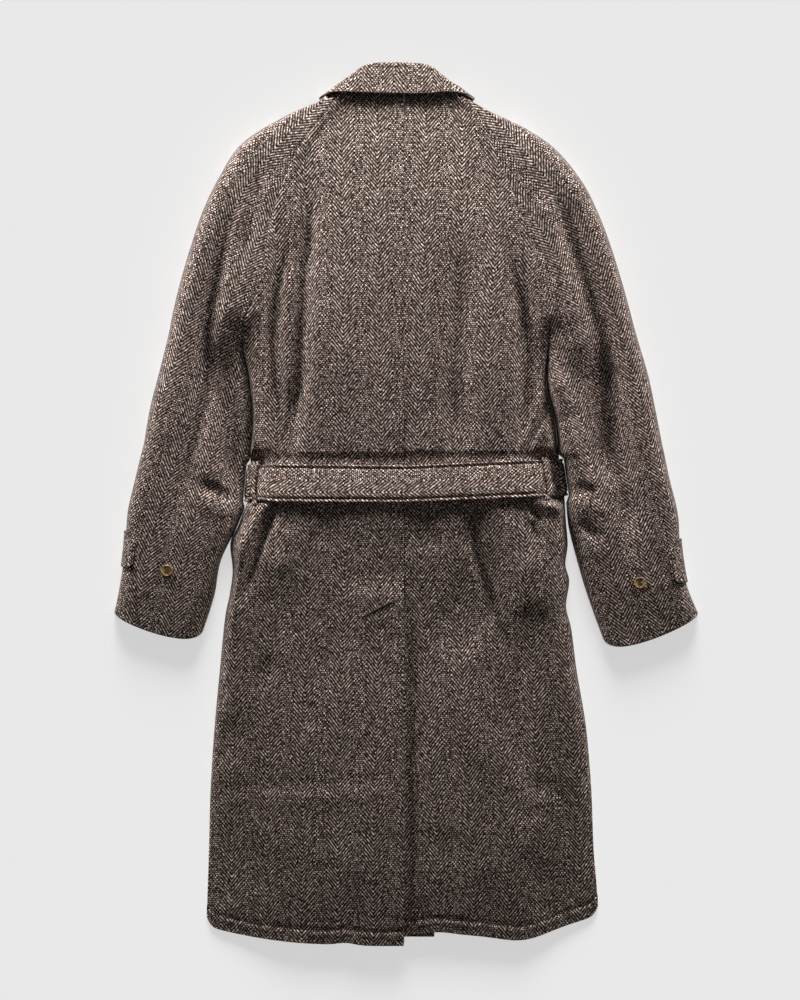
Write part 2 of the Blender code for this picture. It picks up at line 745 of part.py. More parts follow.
def belt_line(panel, row, distance):
    """Row of a back panel moved out, from the side to the middle."""
    grid, normals = panel
    return [point + normal * distance for point, normal in zip(grid[row], normals[row])]


def belt_under(ends, x, raised):
    """Inside and outside of the belt where it lies on the floor."""
    left, right = ends
    y = mix(left.y, right.y, (x - left.x) / (right.x - left.x))
    return Vector((x, y, raised + WALL)), Vector((x, y, raised))


def belt_turn(edge, hand):
    """Inside and outside of the belt where it turns under a side."""
    out = Vector((edge.x + hand * TURN_OUT * WALL, edge.y, TURN_DOWN * WALL))
    return Vector((edge.x, edge.y, WALL)), out


def make_belt(left, right, left_top, right_top, material):
    """Belt: over the back, round both sides and lapped under the fronts."""
    lap_start, lap_end = BELT_LAP
    low_step, high_step = BELT_STEP_UP
    outer = []
    inner = []
    for line in range(WAIST_STEPS + 1):
        over = []
        for distance in (BELT_CLEAR, BELT_CLEAR + WALL):
            right_line = belt_line(right, right_top + line, distance)
            over.append(belt_line(left, left_top + line, distance) + right_line[-2::-1])
        ends = (over[0][0], over[0][-1])
        left_stop = ends[0].x + BELT_EDGE
        right_stop = ends[1].x - BELT_EDGE
        start = [belt_under(ends, mix(lap_end, left_stop, step / BELT_UNDER_STEPS), 0.0)
                 for step in range(BELT_UNDER_STEPS + 1)]
        start.append(belt_turn(ends[0], -1.0))
        finish = [belt_turn(ends[1], 1.0)]
        for step in range(BELT_END_STEPS + 1):
            x = mix(right_stop, lap_end + low_step, step / BELT_END_STEPS)
            finish.append(belt_under(ends, x, 0.0))
        for step in range(BELT_END_STEPS + 1):
            x = mix(lap_end + high_step, lap_start, step / BELT_END_STEPS)
            finish.append(belt_under(ends, x, LAYER))
        inner.append([pair[0] for pair in start] + over[0] + [pair[0] for pair in finish])
        outer.append([pair[1] for pair in start] + over[1] + [pair[1] for pair in finish])
    wall_between("belt", outer, inner, material)


def grid_point(grid, normals, row, column):
    """Point and normal between the points of a grid."""
    r = min(int(row), len(grid) - 2)
    c = min(int(column), len(grid[0]) - 2)
    down = row - r
    across = column - c
    found = []
    for values in (grid, normals):
        upper = values[r][c].lerp(values[r][c + 1], across)
        lower = values[r + 1][c].lerp(values[r + 1][c + 1], across)
        found.append(upper.lerp(lower, down))
    return found[0], found[1].normalized()


def column_at(line, distance):
    """Column of a row of points at a distance from its first one."""
    for c in range(len(line) - 1):
        near = (line[c] - line[0]).xy.length
        far = (line[c + 1] - line[0]).xy.length
        if far >= distance:
            return c + (distance - near) / (far - near)
    return len(line) - 1.0


def make_loop(name, grid, normals, top, material):
    """Belt loop: a narrow strip sewn above and below the belt and over it."""
    bottom = top + WAIST_STEPS
    clears = (BELT_CLEAR, BELT_CLEAR + LOOP_STEP, BELT_CLEAR + WALL + BELT_CLEAR)
    stops = [(top - share, clear) for share, clear in zip(LOOP_ABOVE, clears)]
    stops += [(row, clears[-1]) for row in range(top, bottom + 1)]
    stops += [(bottom + share, clear) for share, clear in zip(LOOP_BELOW, reversed(clears))]
    outer = []
    inner = []
    for row, clear in stops:
        spots = [grid_point(grid, normals, row, column) for column in LOOP_COLUMNS]
        inner.append([point + normal * clear for point, normal in spots])
        outer.append([point + normal * (clear + LOOP_WALL) for point, normal in spots])
    wall_between(name, outer, inner, material)


def make_tab(name, grid, normals, arm, tab, material):
    """Cuff tab: from under the sleeve round its outer edge to a cut-off point."""
    outer = []
    inner = []
    last = len(grid[0]) - 1
    for step in range(TAB_ROWS + 1):
        share = step / TAB_ROWS
        row = (len(arm) - 1 + mix(tab.top, tab.bottom, share)) * ARM_STEPS
        corner = clamp(min(share / TAB_UPPER_CORNER, (1.0 - share) / TAB_LOWER_CORNER))
        tip = column_at(grid[round(row)][::-1], tab.reach * mix(TAB_CORNER, 1.0, corner))
        columns = [tip, mix(TAB_RIM, tip, 2 / 3), mix(TAB_RIM, tip, 1 / 3), TAB_RIM, TAB_RIM / 2, 0.0]
        spots = [grid_point(grid, normals, row, last - column) for column in columns]
        inner_line = [point + normal * TAB_CLEAR for point, normal in spots]
        outer_line = [point + normal * (TAB_CLEAR + TAB_WALL) for point, normal in spots]
        edge, side = spots[-1]
        outward = Vector((side.x, side.y, 0.0)).normalized()
        turn = edge + outward * TAB_CLEAR
        inner_line.append(Vector((turn.x, turn.y, WALL)))
        outer_line.append(Vector((turn.x, turn.y, TURN_DOWN * WALL)) + outward * (TURN_OUT * TAB_WALL))
        for distance in (BELT_EDGE, TAB_UNDER / 2.0, TAB_UNDER):
            spot = edge - outward * distance
            inner_line.append(Vector((spot.x, spot.y, WALL)))
            outer_line.append(Vector((spot.x, spot.y, 0.0)))
        outer.append(outer_line)
        inner.append(inner_line)
    wall_between(name, outer, inner, material)


def make_button(name, point, normal, material):
    """Dished horn button with four holes, flat on the sleeve."""
    shape = bmesh.new()
    rings = []
    for turn in BUTTON_TURNS:
        radius = BUTTON_RADIUS * turn.radius
        height = BUTTON_HEIGHT * turn.height
        angles = [2.0 * math.pi * step / BUTTON_SIDES for step in range(BUTTON_SIDES)]
        rings.append([shape.verts.new((radius * math.cos(angle), radius * math.sin(angle), height))
                      for angle in angles])
    for ring, following in zip(rings, rings[1:]):
        for k in range(BUTTON_SIDES):
            ahead = (k + 1) % BUTTON_SIDES
            shape.faces.new((ring[k], ring[ahead], following[ahead], following[k]))
    shape.faces.new(rings[0])
    shape.faces.new(rings[-1])
    button = add_object(name, shape, material)
    holes = bmesh.new()
    for step in range(HOLES):
        angle = 2.0 * math.pi * (step + 0.5) / HOLES
        made = bmesh.ops.create_cone(holes, cap_ends=True, segments=HOLE_SIDES, radius1=HOLE_RADIUS,
                                     radius2=HOLE_RADIUS, depth=4.0 * BUTTON_HEIGHT)
        shift = Vector((HOLE_RING * math.cos(angle), HOLE_RING * math.sin(angle), BUTTON_HEIGHT / 2.0))
        bmesh.ops.translate(holes, vec=shift, verts=made["verts"])
    drill = add_object(name + "_holes", holes, material)
    cut = button.modifiers.new("holes", "BOOLEAN")
    cut.operation = "DIFFERENCE"
    cut.object = drill
    cut.solver = "EXACT"
    view = bpy.context.evaluated_depsgraph_get()
    drilled = bpy.data.meshes.new_from_object(button.evaluated_get(view))
    button.modifiers.clear()
    button.data = drilled
    bpy.data.objects.remove(drill)
    button.rotation_mode = "QUATERNION"
    button.rotation_quaternion = normal.to_track_quat("Z", "Y")
    button.location = (point + normal * SEAM) * MM


def place_button(name, grid, normals, arm, tab, material):
    """Spare button on the back half of a sleeve."""
    row = (len(arm) - 1 + tab.button_row) * ARM_STEPS
    from_edge = column_at(grid[round(row)][::-1], tab.button_in)
    point, normal = grid_point(grid, normals, row, len(grid[0]) - 1 - from_edge)
    make_button(name, point, normal, material)


def build():
    """Make every piece of the coat."""
    for old in list(bpy.data.objects):
        bpy.data.objects.remove(old)
    bpy.context.collection.objects.link(bpy.data.objects.new("coat", None))
    tweed = make_material("tweed", TWEED, TWEED_ROUGHNESS)
    horn = make_material("horn", HORN, HORN_ROUGHNESS)
    sides = (
        ("left", -1.0, LEFT_ARM, LEFT_CUFF, LEFT_WAIST, LEFT_SKIRT, LEFT_HEM_WAVES, LEFT_TAB),
        ("right", 1.0, RIGHT_ARM, RIGHT_CUFF, RIGHT_WAIST, RIGHT_SKIRT, RIGHT_HEM_WAVES, RIGHT_TAB),
    )
    backs = []
    for side, hand, arm, cuff, waist, skirt, waves, tab in sides:
        back = make_back("back_" + side, hand, arm, waist, skirt, waves, tweed)
        backs.append(back)
        make_front("front_" + side, hand, arm, waist, skirt, hand > 0, tweed)
        sleeve = make_sleeve_back("sleeve_" + side + "_back", hand, arm, cuff, tab, tweed)
        make_sleeve_front("sleeve_" + side + "_front", arm, cuff, tab, tweed)
        make_tab("cuff_tab_" + side, *sleeve, arm, tab, tweed)
        place_button("cuff_button_" + side, *sleeve, arm, tab, horn)
    left_top = belt_top_row(LEFT_ARM)
    right_top = belt_top_row(RIGHT_ARM)
    make_belt(backs[0], backs[1], left_top, right_top, tweed)
    make_loop("belt_loop_left", *backs[0], left_top, tweed)
    make_loop("belt_loop_right", *backs[1], right_top, tweed)
    make_collar(tweed)


build()
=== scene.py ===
"""Looks of a belted raglan tweed overcoat that lies on its front, loosely filled.

Sizes are in millimetres until a mesh is made. The collar points to +Y, the wearer's left is
-X, the back faces +Z and the floor is at Z 0.
"""

import math
from collections import namedtuple

import bmesh
import bpy
import numpy as np
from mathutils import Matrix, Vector, noise


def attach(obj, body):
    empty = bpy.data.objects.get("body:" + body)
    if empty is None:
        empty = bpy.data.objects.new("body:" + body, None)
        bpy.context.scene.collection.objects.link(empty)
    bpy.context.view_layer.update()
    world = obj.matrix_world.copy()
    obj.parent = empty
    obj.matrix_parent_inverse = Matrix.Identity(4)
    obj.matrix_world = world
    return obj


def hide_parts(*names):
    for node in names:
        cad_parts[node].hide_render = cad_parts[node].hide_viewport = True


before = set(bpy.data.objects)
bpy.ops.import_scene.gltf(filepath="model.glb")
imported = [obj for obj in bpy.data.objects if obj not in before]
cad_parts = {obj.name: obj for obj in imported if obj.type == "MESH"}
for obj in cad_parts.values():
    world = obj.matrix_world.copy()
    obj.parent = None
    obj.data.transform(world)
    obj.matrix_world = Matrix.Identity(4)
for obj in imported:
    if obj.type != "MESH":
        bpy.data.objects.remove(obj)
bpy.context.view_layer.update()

MM = 0.001
UP = np.array((0.0, 0.0, 1.0))
LEVEL = np.array((1.0, 1.0, 0.0))

# Cloth, and the clearances between its layers
WALL = 3.0
SEAM = 0.3
LAYER = WALL + SEAM + 0.1
RIM_CLEAR = 0.4

# Filled edges: how far in from an edge the cloth rounds over, and how full the round is
BODY_ROUND = 30.0
SLEEVE_ROUND = 24.0
ROUND_POWER = 2.2
RIM_STEPS = (0.0, 0.012, 0.035, 0.07, 0.13, 0.21, 0.3, 0.38, 0.47, 0.55, 0.63, 0.71, 0.8, 0.9)
CROWN_REACH = 130.0
SEAM_REACH = 30.0
EDGE_TURN = 7.5
RIM_WATCH = 7.0
SLEEVE_ROUND_SHARE = 0.42
SLEEVE_SEAM_SHARE = 0.45

# Centre back seam and vent
MIDDLE_X = -3.0
VENT_TOP = -126.0
VENT_SLANT = 22.0
UNDERLAP = 50.0
FLAP_RISE = 4.2
FLAP_RAMP = 36.0
FLAP_AHEAD = 45.0

# Fronts: how far each passes the middle, and their neck
FRONT_LAP = 40.0
FRONT_LAP_RISE = 6.0
FRONT_LAP_REACH = 42.0
FRONT_LAP_RAMP = 30.0
FRONT_HEM_SHORT = 8.0
FRONT_NECK_DROP = 54.0
FRONT_NECK_PLACES = 5.0
FRONT_LEVEL = 1.2
FRONT_ROW_GAP = 4.0

# Belt: its clearances and lap, the bed that it presses into the coat, and how far it stands out
BELT_CLEAR = 0.7
BELT_LAP = (-20.0, 70.0)
BELT_BAND = (-3.0, 62.0)
BELT_EDGE = 4.0
BELT_STEP_UP = (26.0, 6.0)
BAND_RAMP = 9.0
LAP_RAMP = 30.0
LAP_AHEAD = 2.5
TURN_OUT = 0.75
TURN_DOWN = 0.25
BELT_WALL = 4.4
BELT_HOLD = 0.1
BELT_TILT = 6.0
BELT_FALL = 190.0
HOLLOW = 0.6
HOLLOW_STEP = 5.0
HOLLOW_REACH = 24.0
BELT_CREASE = 1.8
BELT_OUT = 6.1
PRESS_RAMP = 8.0

# How the belt draws the sides in
PINCH_SHARE = 0.15
PINCH_BAND = (-6.0, 74.0)
PINCH_RAMP = 15.0
PINCH_START = 6.0
LEFT_PINCH = 32.0
RIGHT_PINCH = 42.0

# Belt loops and cuff tabs
STRAP_ROUND = 1.2
LOOP_WALL = 3.6
LOOP_ROUND = 0.55
LOOP_CLEAR = 0.5
LOOP_TOP = ((4.6, 0.4), (3.4, 0.9), (1.2, 3.4))
LOOP_BOTTOM = ((1.0, 3.6), (3.0, 1.2), (5.0, 0.4))
LOOP_COLUMNS = 7
TAB_WALL = 2.2
TAB_CLEAR = 0.8
TAB_UNDER = 45.0
TAB_RAMP = 25.0
TAB_SLOPE = 2.0
TAB_AHEAD = 2.0
TAB_ROWS = 26
TAB_RIM = 3.1
TAB_CORNER = 0.45
TAB_UPPER_CORNER = 0.3
TAB_LOWER_CORNER = 0.12
TAB_TIP_STEPS = 9
TAB_RIM_STEPS = (1.9, 0.84, 0.35, 0.0)
TAB_UNDER_STEPS = 7
TAB_EDGING = 8
BUTTONHOLE = (0.42, 0.66)
BUTTONHOLE_COLUMN = 4

# Horn buttons
BUTTON_RADIUS = 7.5
BUTTON_HEIGHT = 3.0
BUTTON_SIDES = 48
HOLE_RADIUS = 0.9
HOLE_RING = 1.9
HOLE_SIDES = 16
HOLES = 4
Turn = namedtuple("Turn", "radius height")
BUTTON_TURNS = [Turn(*row) for row in (
    (0.78, 0.0), (0.9, 0.03), (0.97, 0.14), (1.0, 0.34), (1.0, 0.56), (0.98, 0.76),
    (0.945, 0.91), (0.89, 0.99), (0.83, 0.97), (0.77, 0.9), (0.7, 0.82),
    (0.6, 0.75), (0.45, 0.71), (0.2, 0.7),
)]

# Mesh steps
ARM_STEPS = 10
SKIRT_STEPS = 9
HEM_STEPS = 22
WAIST_SHARES = (0.0, 0.025, 0.05, 0.072, 0.09, 0.108, 0.13, 0.16, 0.22, 0.32, 0.44, 0.56, 0.68, 0.78,
                0.84, 0.87, 0.892, 0.91, 0.928, 0.95, 0.975, 1.0)
BODY_COLUMNS = 64
SLEEVE_COLUMNS = 36
FRONT_COLUMNS = 26
SLEEVE_FRONT_COLUMNS = 16
COLLAR_STEPS = 8
BAND_STEPS = 28
BELT_STEPS = 14
LAP_STEPS = 7

# The raglan seam from neck to armpit, then the crease between arm and body, and the
# outer edge of the sleeve beside it. drop tells how far the seam sinks to the floor, from
# the armpit's row on.
ARMPIT = 9
Arm = namedtuple("Arm", "seam_x seam_y seam_z drop edge_x edge_y crown")
LEFT_ARM = [Arm(*row) for row in (
    (-84, 538, 26, 0.0, -104, 528, 22),
    (-102, 516, 27, 0.0, -144, 514, 25),
    (-124, 487, 29, 0.0, -189, 491, 29),
    (-144, 457, 30, 0.0, -222, 465, 33),
    (-161, 418, 31, 0.0, -248, 423, 36),
    (-174, 379, 32, 0.0, -267, 383, 38),
    (-184, 331, 34, 0.0, -282, 339, 39),
    (-193, 279, 35, 0.0, -297, 288, 39),
    (-210, 242, 34, 0.0, -306, 250, 38),
    (-214, 207, 30, 0.4, -312, 220, 38),
    (-205, 159, 28, 1.0, -324, 172, 38),
    (-201, 109, 28, 1.0, -336, 125, 37),
    (-205, 62, 28, 1.0, -344, 78, 36),
)]
RIGHT_ARM = [Arm(*row) for row in (
    (62, 538, 26, 0.0, 78, 530, 22),
    (88, 514, 27, 0.0, 109, 513, 25),
    (105, 487, 29, 0.0, 159, 490, 29),
    (117, 457, 30, 0.0, 198, 462, 33),
    (134, 418, 31, 0.0, 231, 421, 36),
    (150, 379, 32, 0.0, 252, 380, 38),
    (165, 331, 34, 0.0, 269, 335, 39),
    (178, 279, 35, 0.0, 285, 283, 39),
    (186, 245, 34, 0.0, 294, 250, 38),
    (186, 207, 30, 0.4, 302, 220, 38),
    (184, 155, 28, 1.0, 317, 169, 38),
    (195, 110, 28, 1.0, 327, 122, 37),
    (199, 65, 28, 1.0, 336, 75, 36),
)]

# The forearm below the waist; bow is how far the cuff's middle passes its corners, on a
# curve that is fuller near the inner corner
CUFF_LEAN = 0.6
CUFF_SQUARE = 2
CUFF_FULL = 0.7
Cuff = namedtuple("Cuff", "inner_x inner_y edge_x edge_y crown bow")
LEFT_CUFF = [Cuff(*row) for row in (
    (-205, 62, -344, 78, 36, 0),
    (-205, 20, -355, 33, 35, 0),
    (-220.5, -27, -365, -11, 33, 0),
    (-243, -74, -368, -55, 31, 2),
    (-252, -121, -374, -100, 28, 8),
    (-266, -164, -383, -143, 24, 18),
)]
RIGHT_CUFF = [Cuff(*row) for row in (
    (199, 65, 336, 75, 36, 0),
    (208.5, 20, 345, 32, 35, 0),
    (212.5, -27, 356, -14, 33, 0),
    (224, -74, 359, -58, 31, 2),
    (238, -121, 367, -105, 28, 6),
    (258, -176, 383, -144, 24, 18),
)]

# Body from the waist to the hem: the side edge, and the row's height at the middle.
# hem tells how far a row follows the hem's rounded line.
Side = namedtuple("Side", "side_x side_y middle_y hem")
LEFT_WAIST = [Side(-203.5, 51, 49, 0), Side(-208, 2, 1, 0)]
LEFT_SKIRT = [Side(*row) for row in (
    (-208, 2, 1, 0),
    (-213.4, -10, -11, 0),
    (-220.6, -29, -29, 0),
    (-230.9, -52, -54, 0),
    (-228, -88, -90, 0),
    (-232, -120, -126, 0),
    (-238, -150, -158, 0),
    (-245, -220, -225, 0),
    (-252, -296, -300, 0),
    (-257, -374, -380, 0.1),
    (-259, -450, -458, 0.3),
    (-261, -510, -530, 0.8),
    (-262, -543, -577, 1),
)]
RIGHT_WAIST = [Side(200.5, 58, 49, 0), Side(207.5, 10, 1, 0)]
RIGHT_SKIRT = [Side(*row) for row in (
    (207.5, 10, 1, 0),
    (208.5, -6, -11, 0),
    (210, -27, -29, 0),
    (212, -54, -54, 0),
    (209, -80, -85, 0),
    (214, -102, -106, 0),
    (210, -135, -126, 0),
    (217, -166, -158, 0),
    (224, -220, -225, 0),
    (236, -292, -300, 0),
    (243, -374, -380, 0.1),
    (246, -450, -458, 0.3),
    (250, -500, -522, 0.8),
    (252, -528, -566, 1),
)]

# The hem's line from side (0) to middle (1): shares of its drop, and its waves
Wave = namedtuple("Wave", "at size width")
HEM_CORNER_SHARE = 0.36
HEM_CORNER_POWER = 60
HEM_SIDE_POWER = 3
LEFT_HEM_WAVES = [Wave(0.71, -0.09, 0.06)]
RIGHT_HEM_WAVES = [Wave(0.32, 0.31, 0.15), Wave(0.7, -0.15, 0.11)]

# Height of the filled back along the coat, in its middle and near its sides
Height = namedtuple("Height", "y z")
BACK_HEIGHT = [Height(*row) for row in (
    (600, 25), (538, 27), (480, 31), (400, 36), (300, 38.5), (200, 38),
    (110, 35.5), (50, 33), (0, 31), (-60, 28.5), (-130, 27.5), (-200, 27.5),
    (-280, 28.5), (-360, 28.5), (-440, 27.5), (-520, 25), (-600, 20),
)]
SIDE_HEIGHT = [Height(*row) for row in (
    (600, 21), (538, 23), (480, 27), (400, 31), (300, 33), (200, 33),
    (110, 31.5), (50, 30.5), (0, 30), (-60, 31), (-120, 32), (-180, 30),
    (-250, 25), (-320, 19.5), (-390, 14), (-460, 9), (-520, 7), (-600, 6),
)]

# Folds: how wide a fold's round is, its height above or below the cloth, and its line
Fold = namedtuple("Fold", "width height line")
LEFT_FOLDS = [Fold(*row) for row in (
    (13, -13, ((-221, 396), (-237, 337), (-248, 292), (-255, 252), (-263, 187), (-268, 148), (-273, 109),
        (-280, 76), (-286, 40), (-295, -20))),
    (10, -9, ((-196, 455), (-192, 422), (-197, 383), (-203, 357), (-210, 328), (-218, 298))),
    (28, -25, ((-237, 222), (-236, 180), (-230, 130), (-222, 80), (-214, -10))),
    (6, -6, ((-270, 27), (-250, 18), (-224, 6))),
    (10, 2, ((-268, 4), (-248, -6), (-232, -16))),
    (9, 1.5, ((-268, 48), (-252, 43), (-234, 36))),
    (6, 3.5, ((-232, 248), (-222, 257), (-212, 262))),
    (5, 2.5, ((-204, 263), (-196, 258), (-190, 244))),
    (11.5, -11, ((-157, 376), (-155, 331), (-165, 305), (-171, 279), (-173, 246), (-173, 213), (-171, 187),
        (-170, 161), (-165, 128), (-158, 62))),
    (12.5, -12.5, ((-136, 442), (-127, 409), (-126, 376), (-127, 344), (-131, 311), (-134, 279), (-137, 213),
        (-137, 181), (-140, 148), (-145, 115), (-149, 89), (-156, 40))),
    (12, 2, ((-108, 330), (-112, 250), (-118, 170), (-124, 100))),
    (9, 8, ((-184, -4), (-203, -26), (-212, -48), (-218, -76), (-228, -126), (-236, -178))),
    (7, -9, ((-164, 22), (-170, -6), (-180, -28), (-191, -54), (-203, -87), (-214, -122))),
    (16, 3.5, ((-148, -26), (-156, -60), (-166, -98))),
    (18, -2.5, ((-110, 10), (-104, -24), (-100, -60))),
    (6, -2, ((-242, -180), (-230, -185), (-214, -190))),
    (12, -3, ((-176, -196), (-182, -222), (-188, -246))),
    (14, -3, ((-223, -278), (-230, -305), (-238, -340))),
    (5, -1.8, ((-128, -250), (-127, -272), (-128, -292))),
    (5, -1.8, ((-256, -372), (-205, -373), (-139, -369), (-74, -365), (-12, -362))),
    (10, 1.2, ((-256, -386), (-200, -386), (-130, -382), (-60, -378), (-10, -375))),
    (14, -2, ((-60, -480), (-66, -520), (-64, -572))),
    (16, -1.6, ((-150, -500), (-148, -535), (-150, -574))),
)]
RIGHT_FOLDS = [Fold(*row) for row in (
    (19, -16, ((187, 413), (203, 387), (215, 350), (229, 311), (240, 279), (248, 250), (255, 226), (262, 194),
        (267, 164), (269, 135), (270, 100))),
    (17, -13, ((268, 150), (272, 102), (277, 76), (283, 50), (289, 5), (293, -50))),
    (28, -18, ((240, 212), (246, 155), (254, 102), (266, 20))),
    (9, 3, ((178, 396), (188, 366), (198, 336))),
    (14, -6, ((204, 204), (218, 150), (216, 84))),
    (6, -5, ((212, 21), (233, 19), (252, 13))),
    (6, -6, ((214, -25), (234, -33), (256, -45))),
    (9, 2, ((218, -2), (238, -5), (262, -9))),
    (10, 1.6, ((226, -56), (242, -63), (262, -69))),
    (14.5, -13, ((137, 324), (145, 285), (155, 259), (157, 226), (156, 194), (155, 161), (154, 128),
        (147, 72))),
    (20, -12, ((69, 350), (69, 279), (67, 226), (66, 181), (64, 122), (70, 52))),
    (14, 2.5, ((108, 320), (110, 240), (112, 150), (110, 80))),
    (4.5, -6, ((190, 160), (186, 145), (175, 109), (161, 83), (152, 56))),
    (5, 3.5, ((178, 150), (170, 120), (158, 90), (148, 64))),
    (9, 3.5, ((188, 104), (184, 92), (180, 80))),
    (62, -4.0, ((40, -130), (76, -150), (104, -176))),
    (12, -9, ((82, 22), (86, -8), (90, -54), (105, -93), (112, -119), (126, -152), (142, -191))),
    (14, 4, ((120, 0), (126, -10), (138, -35), (146, -75), (152, -130))),
    (6, -6, ((148, 20), (156, -1), (169, -14), (182, -25))),
    (26, 5, ((156, -60), (164, -100), (168, -150))),
    (6, 8, ((172, 6), (184, 1), (196, -6), (203, -18))),
    (6, -5, ((160, -20), (166, -32), (171, -48))),
    (20, -3, ((20, 10), (24, -26), (24, -66))),
    (17, -6.5, ((133, -152), (148, -204), (142, -256), (148, -335), (158, -366))),
    (18, 3, ((58, -190), (66, -222), (83, -282), (99, -328), (124, -352))),
    (6, -3, ((160, -368), (176, -371), (190, -374), (212, -386))),
    (10, 2, ((146, -384), (166, -388), (190, -396))),
    (14, 3, ((172, -400), (166, -430), (160, -462))),
    (18, -1.5, ((44, -430), (50, -446), (54, -470))),
    (11, -4, ((6, -138), (5, -230), (4, -340), (3, -450), (2, -566))),
    (16, -2, ((100, -480), (104, -520), (108, -562))),
    (16, -1.8, ((180, -470), (184, -510), (186, -550))),
)]
FOLD_FADE = 0.4
FOLD_END = 0.25
FOLD_START = 15.0

# The collar round the neck: where the stand is sewn, its fold, the fall's free edge, and
# the way its outside faces (90 up at the back, -90 down at the front)
Collar = namedtuple(
    "Collar", "neck_x neck_y neck_z fold_x fold_y fold_z edge_x edge_y edge_z tilt")
COLLAR = [Collar(*row) for row in (
    (-15, 473, 3.4, -15, 488, 3.4, -30, 425, 3.4, -90),
    (-70, 511, 3.4, -66, 526, 3.4, -88, 478, 3.4, -90),
    (-88, 529, 3.6, -86, 537, 3.6, -107, 516, 3.4, -82),
    (-94, 534, 7, -91, 541, 7, -110, 529, 5.5, -20),
    (-95, 534, 14, -92, 542, 15, -111, 529, 15, 5),
    (-87, 540, 24, -85, 547, 24, -97, 535, 27, 50),
    (-74, 539, 26.7, -73, 555, 27, -77, 536, 30.5, 80),
    (-48, 539, 27, -50, 569, 27.5, -49, 535, 31.5, 90),
    (-13, 539, 27, -13, 571.5, 27.5, -17, 534, 31.5, 90),
    (27, 539, 27, 27, 568.5, 27.5, 28, 534, 31.5, 90),
    (48, 539, 26.7, 46, 556, 27, 49, 536, 30.5, 80),
    (63, 540, 24, 60, 546, 24, 71, 534, 27, 50),
    (72, 535, 14, 69, 542, 15, 86, 529, 15, 5),
    (72, 535, 7, 69, 541, 7, 86, 529, 5.5, -20),
    (66, 529, 3.6, 62, 537, 3.6, 83, 515, 3.4, -82),
    (44, 511, 3.4, 40, 526, 3.4, 62, 478, 3.4, -90),
    (-11, 473, 3.4, -11, 488, 3.4, 4, 425, 3.4, -90),
)]
LEAF_MIDDLE = -13.0
LEAF_POINT = 380.0
LEAF_SLOPE = 0.95
LEAF_RAMP = 25.0
LEAF_LIFT = 4.6
LEAF_SLEEVE_Y = 300.0
LEAF_SLEEVE_RAMP = 60.0
COLLAR_SPOTS = np.linspace(0.0, 1.0, 12)
COLLAR_BEND_STEPS = 10
COLLAR_EDGE_STEPS = 6

# Cuff tabs: how far along the forearm table they lie, how far they reach in from the
# edge, and the place of the spare button
Tab = namedtuple("Tab", "top bottom reach button_row button_in")
LEFT_TAB = Tab(2.55, 3.6, 15.0, 3.42, 60.0)
RIGHT_TAB = Tab(2.72, 3.95, 18.0, 3.72, 61.0)

# Weave: pitch of its threads, and how many make the falling twill, the rising twill and the
# speckled stripe beside them. The two twills meet at the valley. The belt's weave starts at its
# own distance past a valley, and that of a loop at its own place.
WARP = 1.065
WEFT = 1.326
FALLING = 14
RISING = 15
SPECKLED = 15
REPEAT = FALLING + RISING + SPECKLED
VALLEY = FALLING * WARP
BELT_GRAIN = 11.5
LOOP_GRAIN = 1.0

# Flecks of dyed wool in the yarn: the share where each colour starts
FLECKS = ((0.0, (0.2, 0.14, 0.15)), (0.25, (0.2, 0.2, 0.13)), (0.5, (0.34, 0.19, 0.1)),
          (0.72, (0.62, 0.56, 0.5)), (0.9, (0.05, 0.04, 0.045)))

# How far the first valley of the weave lies from the centre seam, along the back
GRAIN_Y = (-452, -322, -243, -67, 109, 187, 266, 344, 422)
LEFT_GRAIN = (39.7, 37.3, 35.2, 29.4, 29.2, 32.1, 31.6, 32.9, 34.6)
RIGHT_GRAIN = (44.5, 34.5, 30.9, 21.8, 16.7, 19.3, 23.8, 27.0, 28.6)

# The line that the weave of a sleeve follows from the neck to the cuff, and a spot that one
# of its valleys passes
Spot = namedtuple("Spot", "x y")
LEFT_SLEEVE_GRAIN = [Spot(*row) for row in (
    (-84, 536), (-120, 500), (-159, 460), (-190, 420), (-213, 380), (-250, 300),
    (-291, 200), (-327, 100), (-358, 0), (-381, -100), (-396, -180),
)]
RIGHT_SLEEVE_GRAIN = [Spot(*row) for row in (
    (60, 540), (95, 505), (135, 460), (168, 420), (197, 380), (226, 330),
    (257, 260), (293, 160), (320, 60), (344, -50), (374, -180),
)]
LEFT_SLEEVE_VALLEY = Spot(-341, -88)
RIGHT_SLEEVE_VALLEY = Spot(316, -85)

# Belt loops: how far in from the side edge a loop's two edges lie, at its top and its bottom
Loop = namedtuple("Loop", "top_edges bottom_edges")
LEFT_LOOP = Loop((2.0, 14.0), (9.0, 15.0))
RIGHT_LOOP = Loop((15.0, 26.0), (21.0, 28.0))

# Stitches: the sizes of each kind of row, in metres
STITCHES = {
    "hem": {"pitch": 0.006, "length": 0.004, "thread": 0.0003},
    "tab": {"pitch": 0.0036, "length": 0.003, "thread": 0.0005},
    "buttonhole": {"pitch": 0.0011, "length": 0.0032, "rise": 0.0012, "turn": math.pi / 2.0},
    "button": {"pitch": 0.0026, "length": 0.0036, "thread": 0.0007, "rise": 0.0022, "turn": math.pi / 2.0},
    "belt": {"pitch": 0.0042, "length": 0.0032},
    "vent": {"pitch": 0.0028, "length": 0.0034, "thread": 0.0009, "rise": 0.0014},
}

# Stage, in metres: floor, lights and camera
FLOOR_SIZE = 6.0
FLOOR_LEVEL = -0.0003
KEY_LIGHTS = (("soft_key_left", 35.0, -0.98), ("soft_key_right", 27.5, 0.98))
FLOOR_LIGHTS = (("floor_above", 2.25, (0.0, 0.02, 2.0), 10.0), ("floor_low", 1.9, (0.0, 2.0, 0.81), 25.0))
WORLD_LIGHT = 0.07
LENS = 84.1
SENSOR = 36.0
CAMERA = (-0.0082, 0.0046, 3.07)

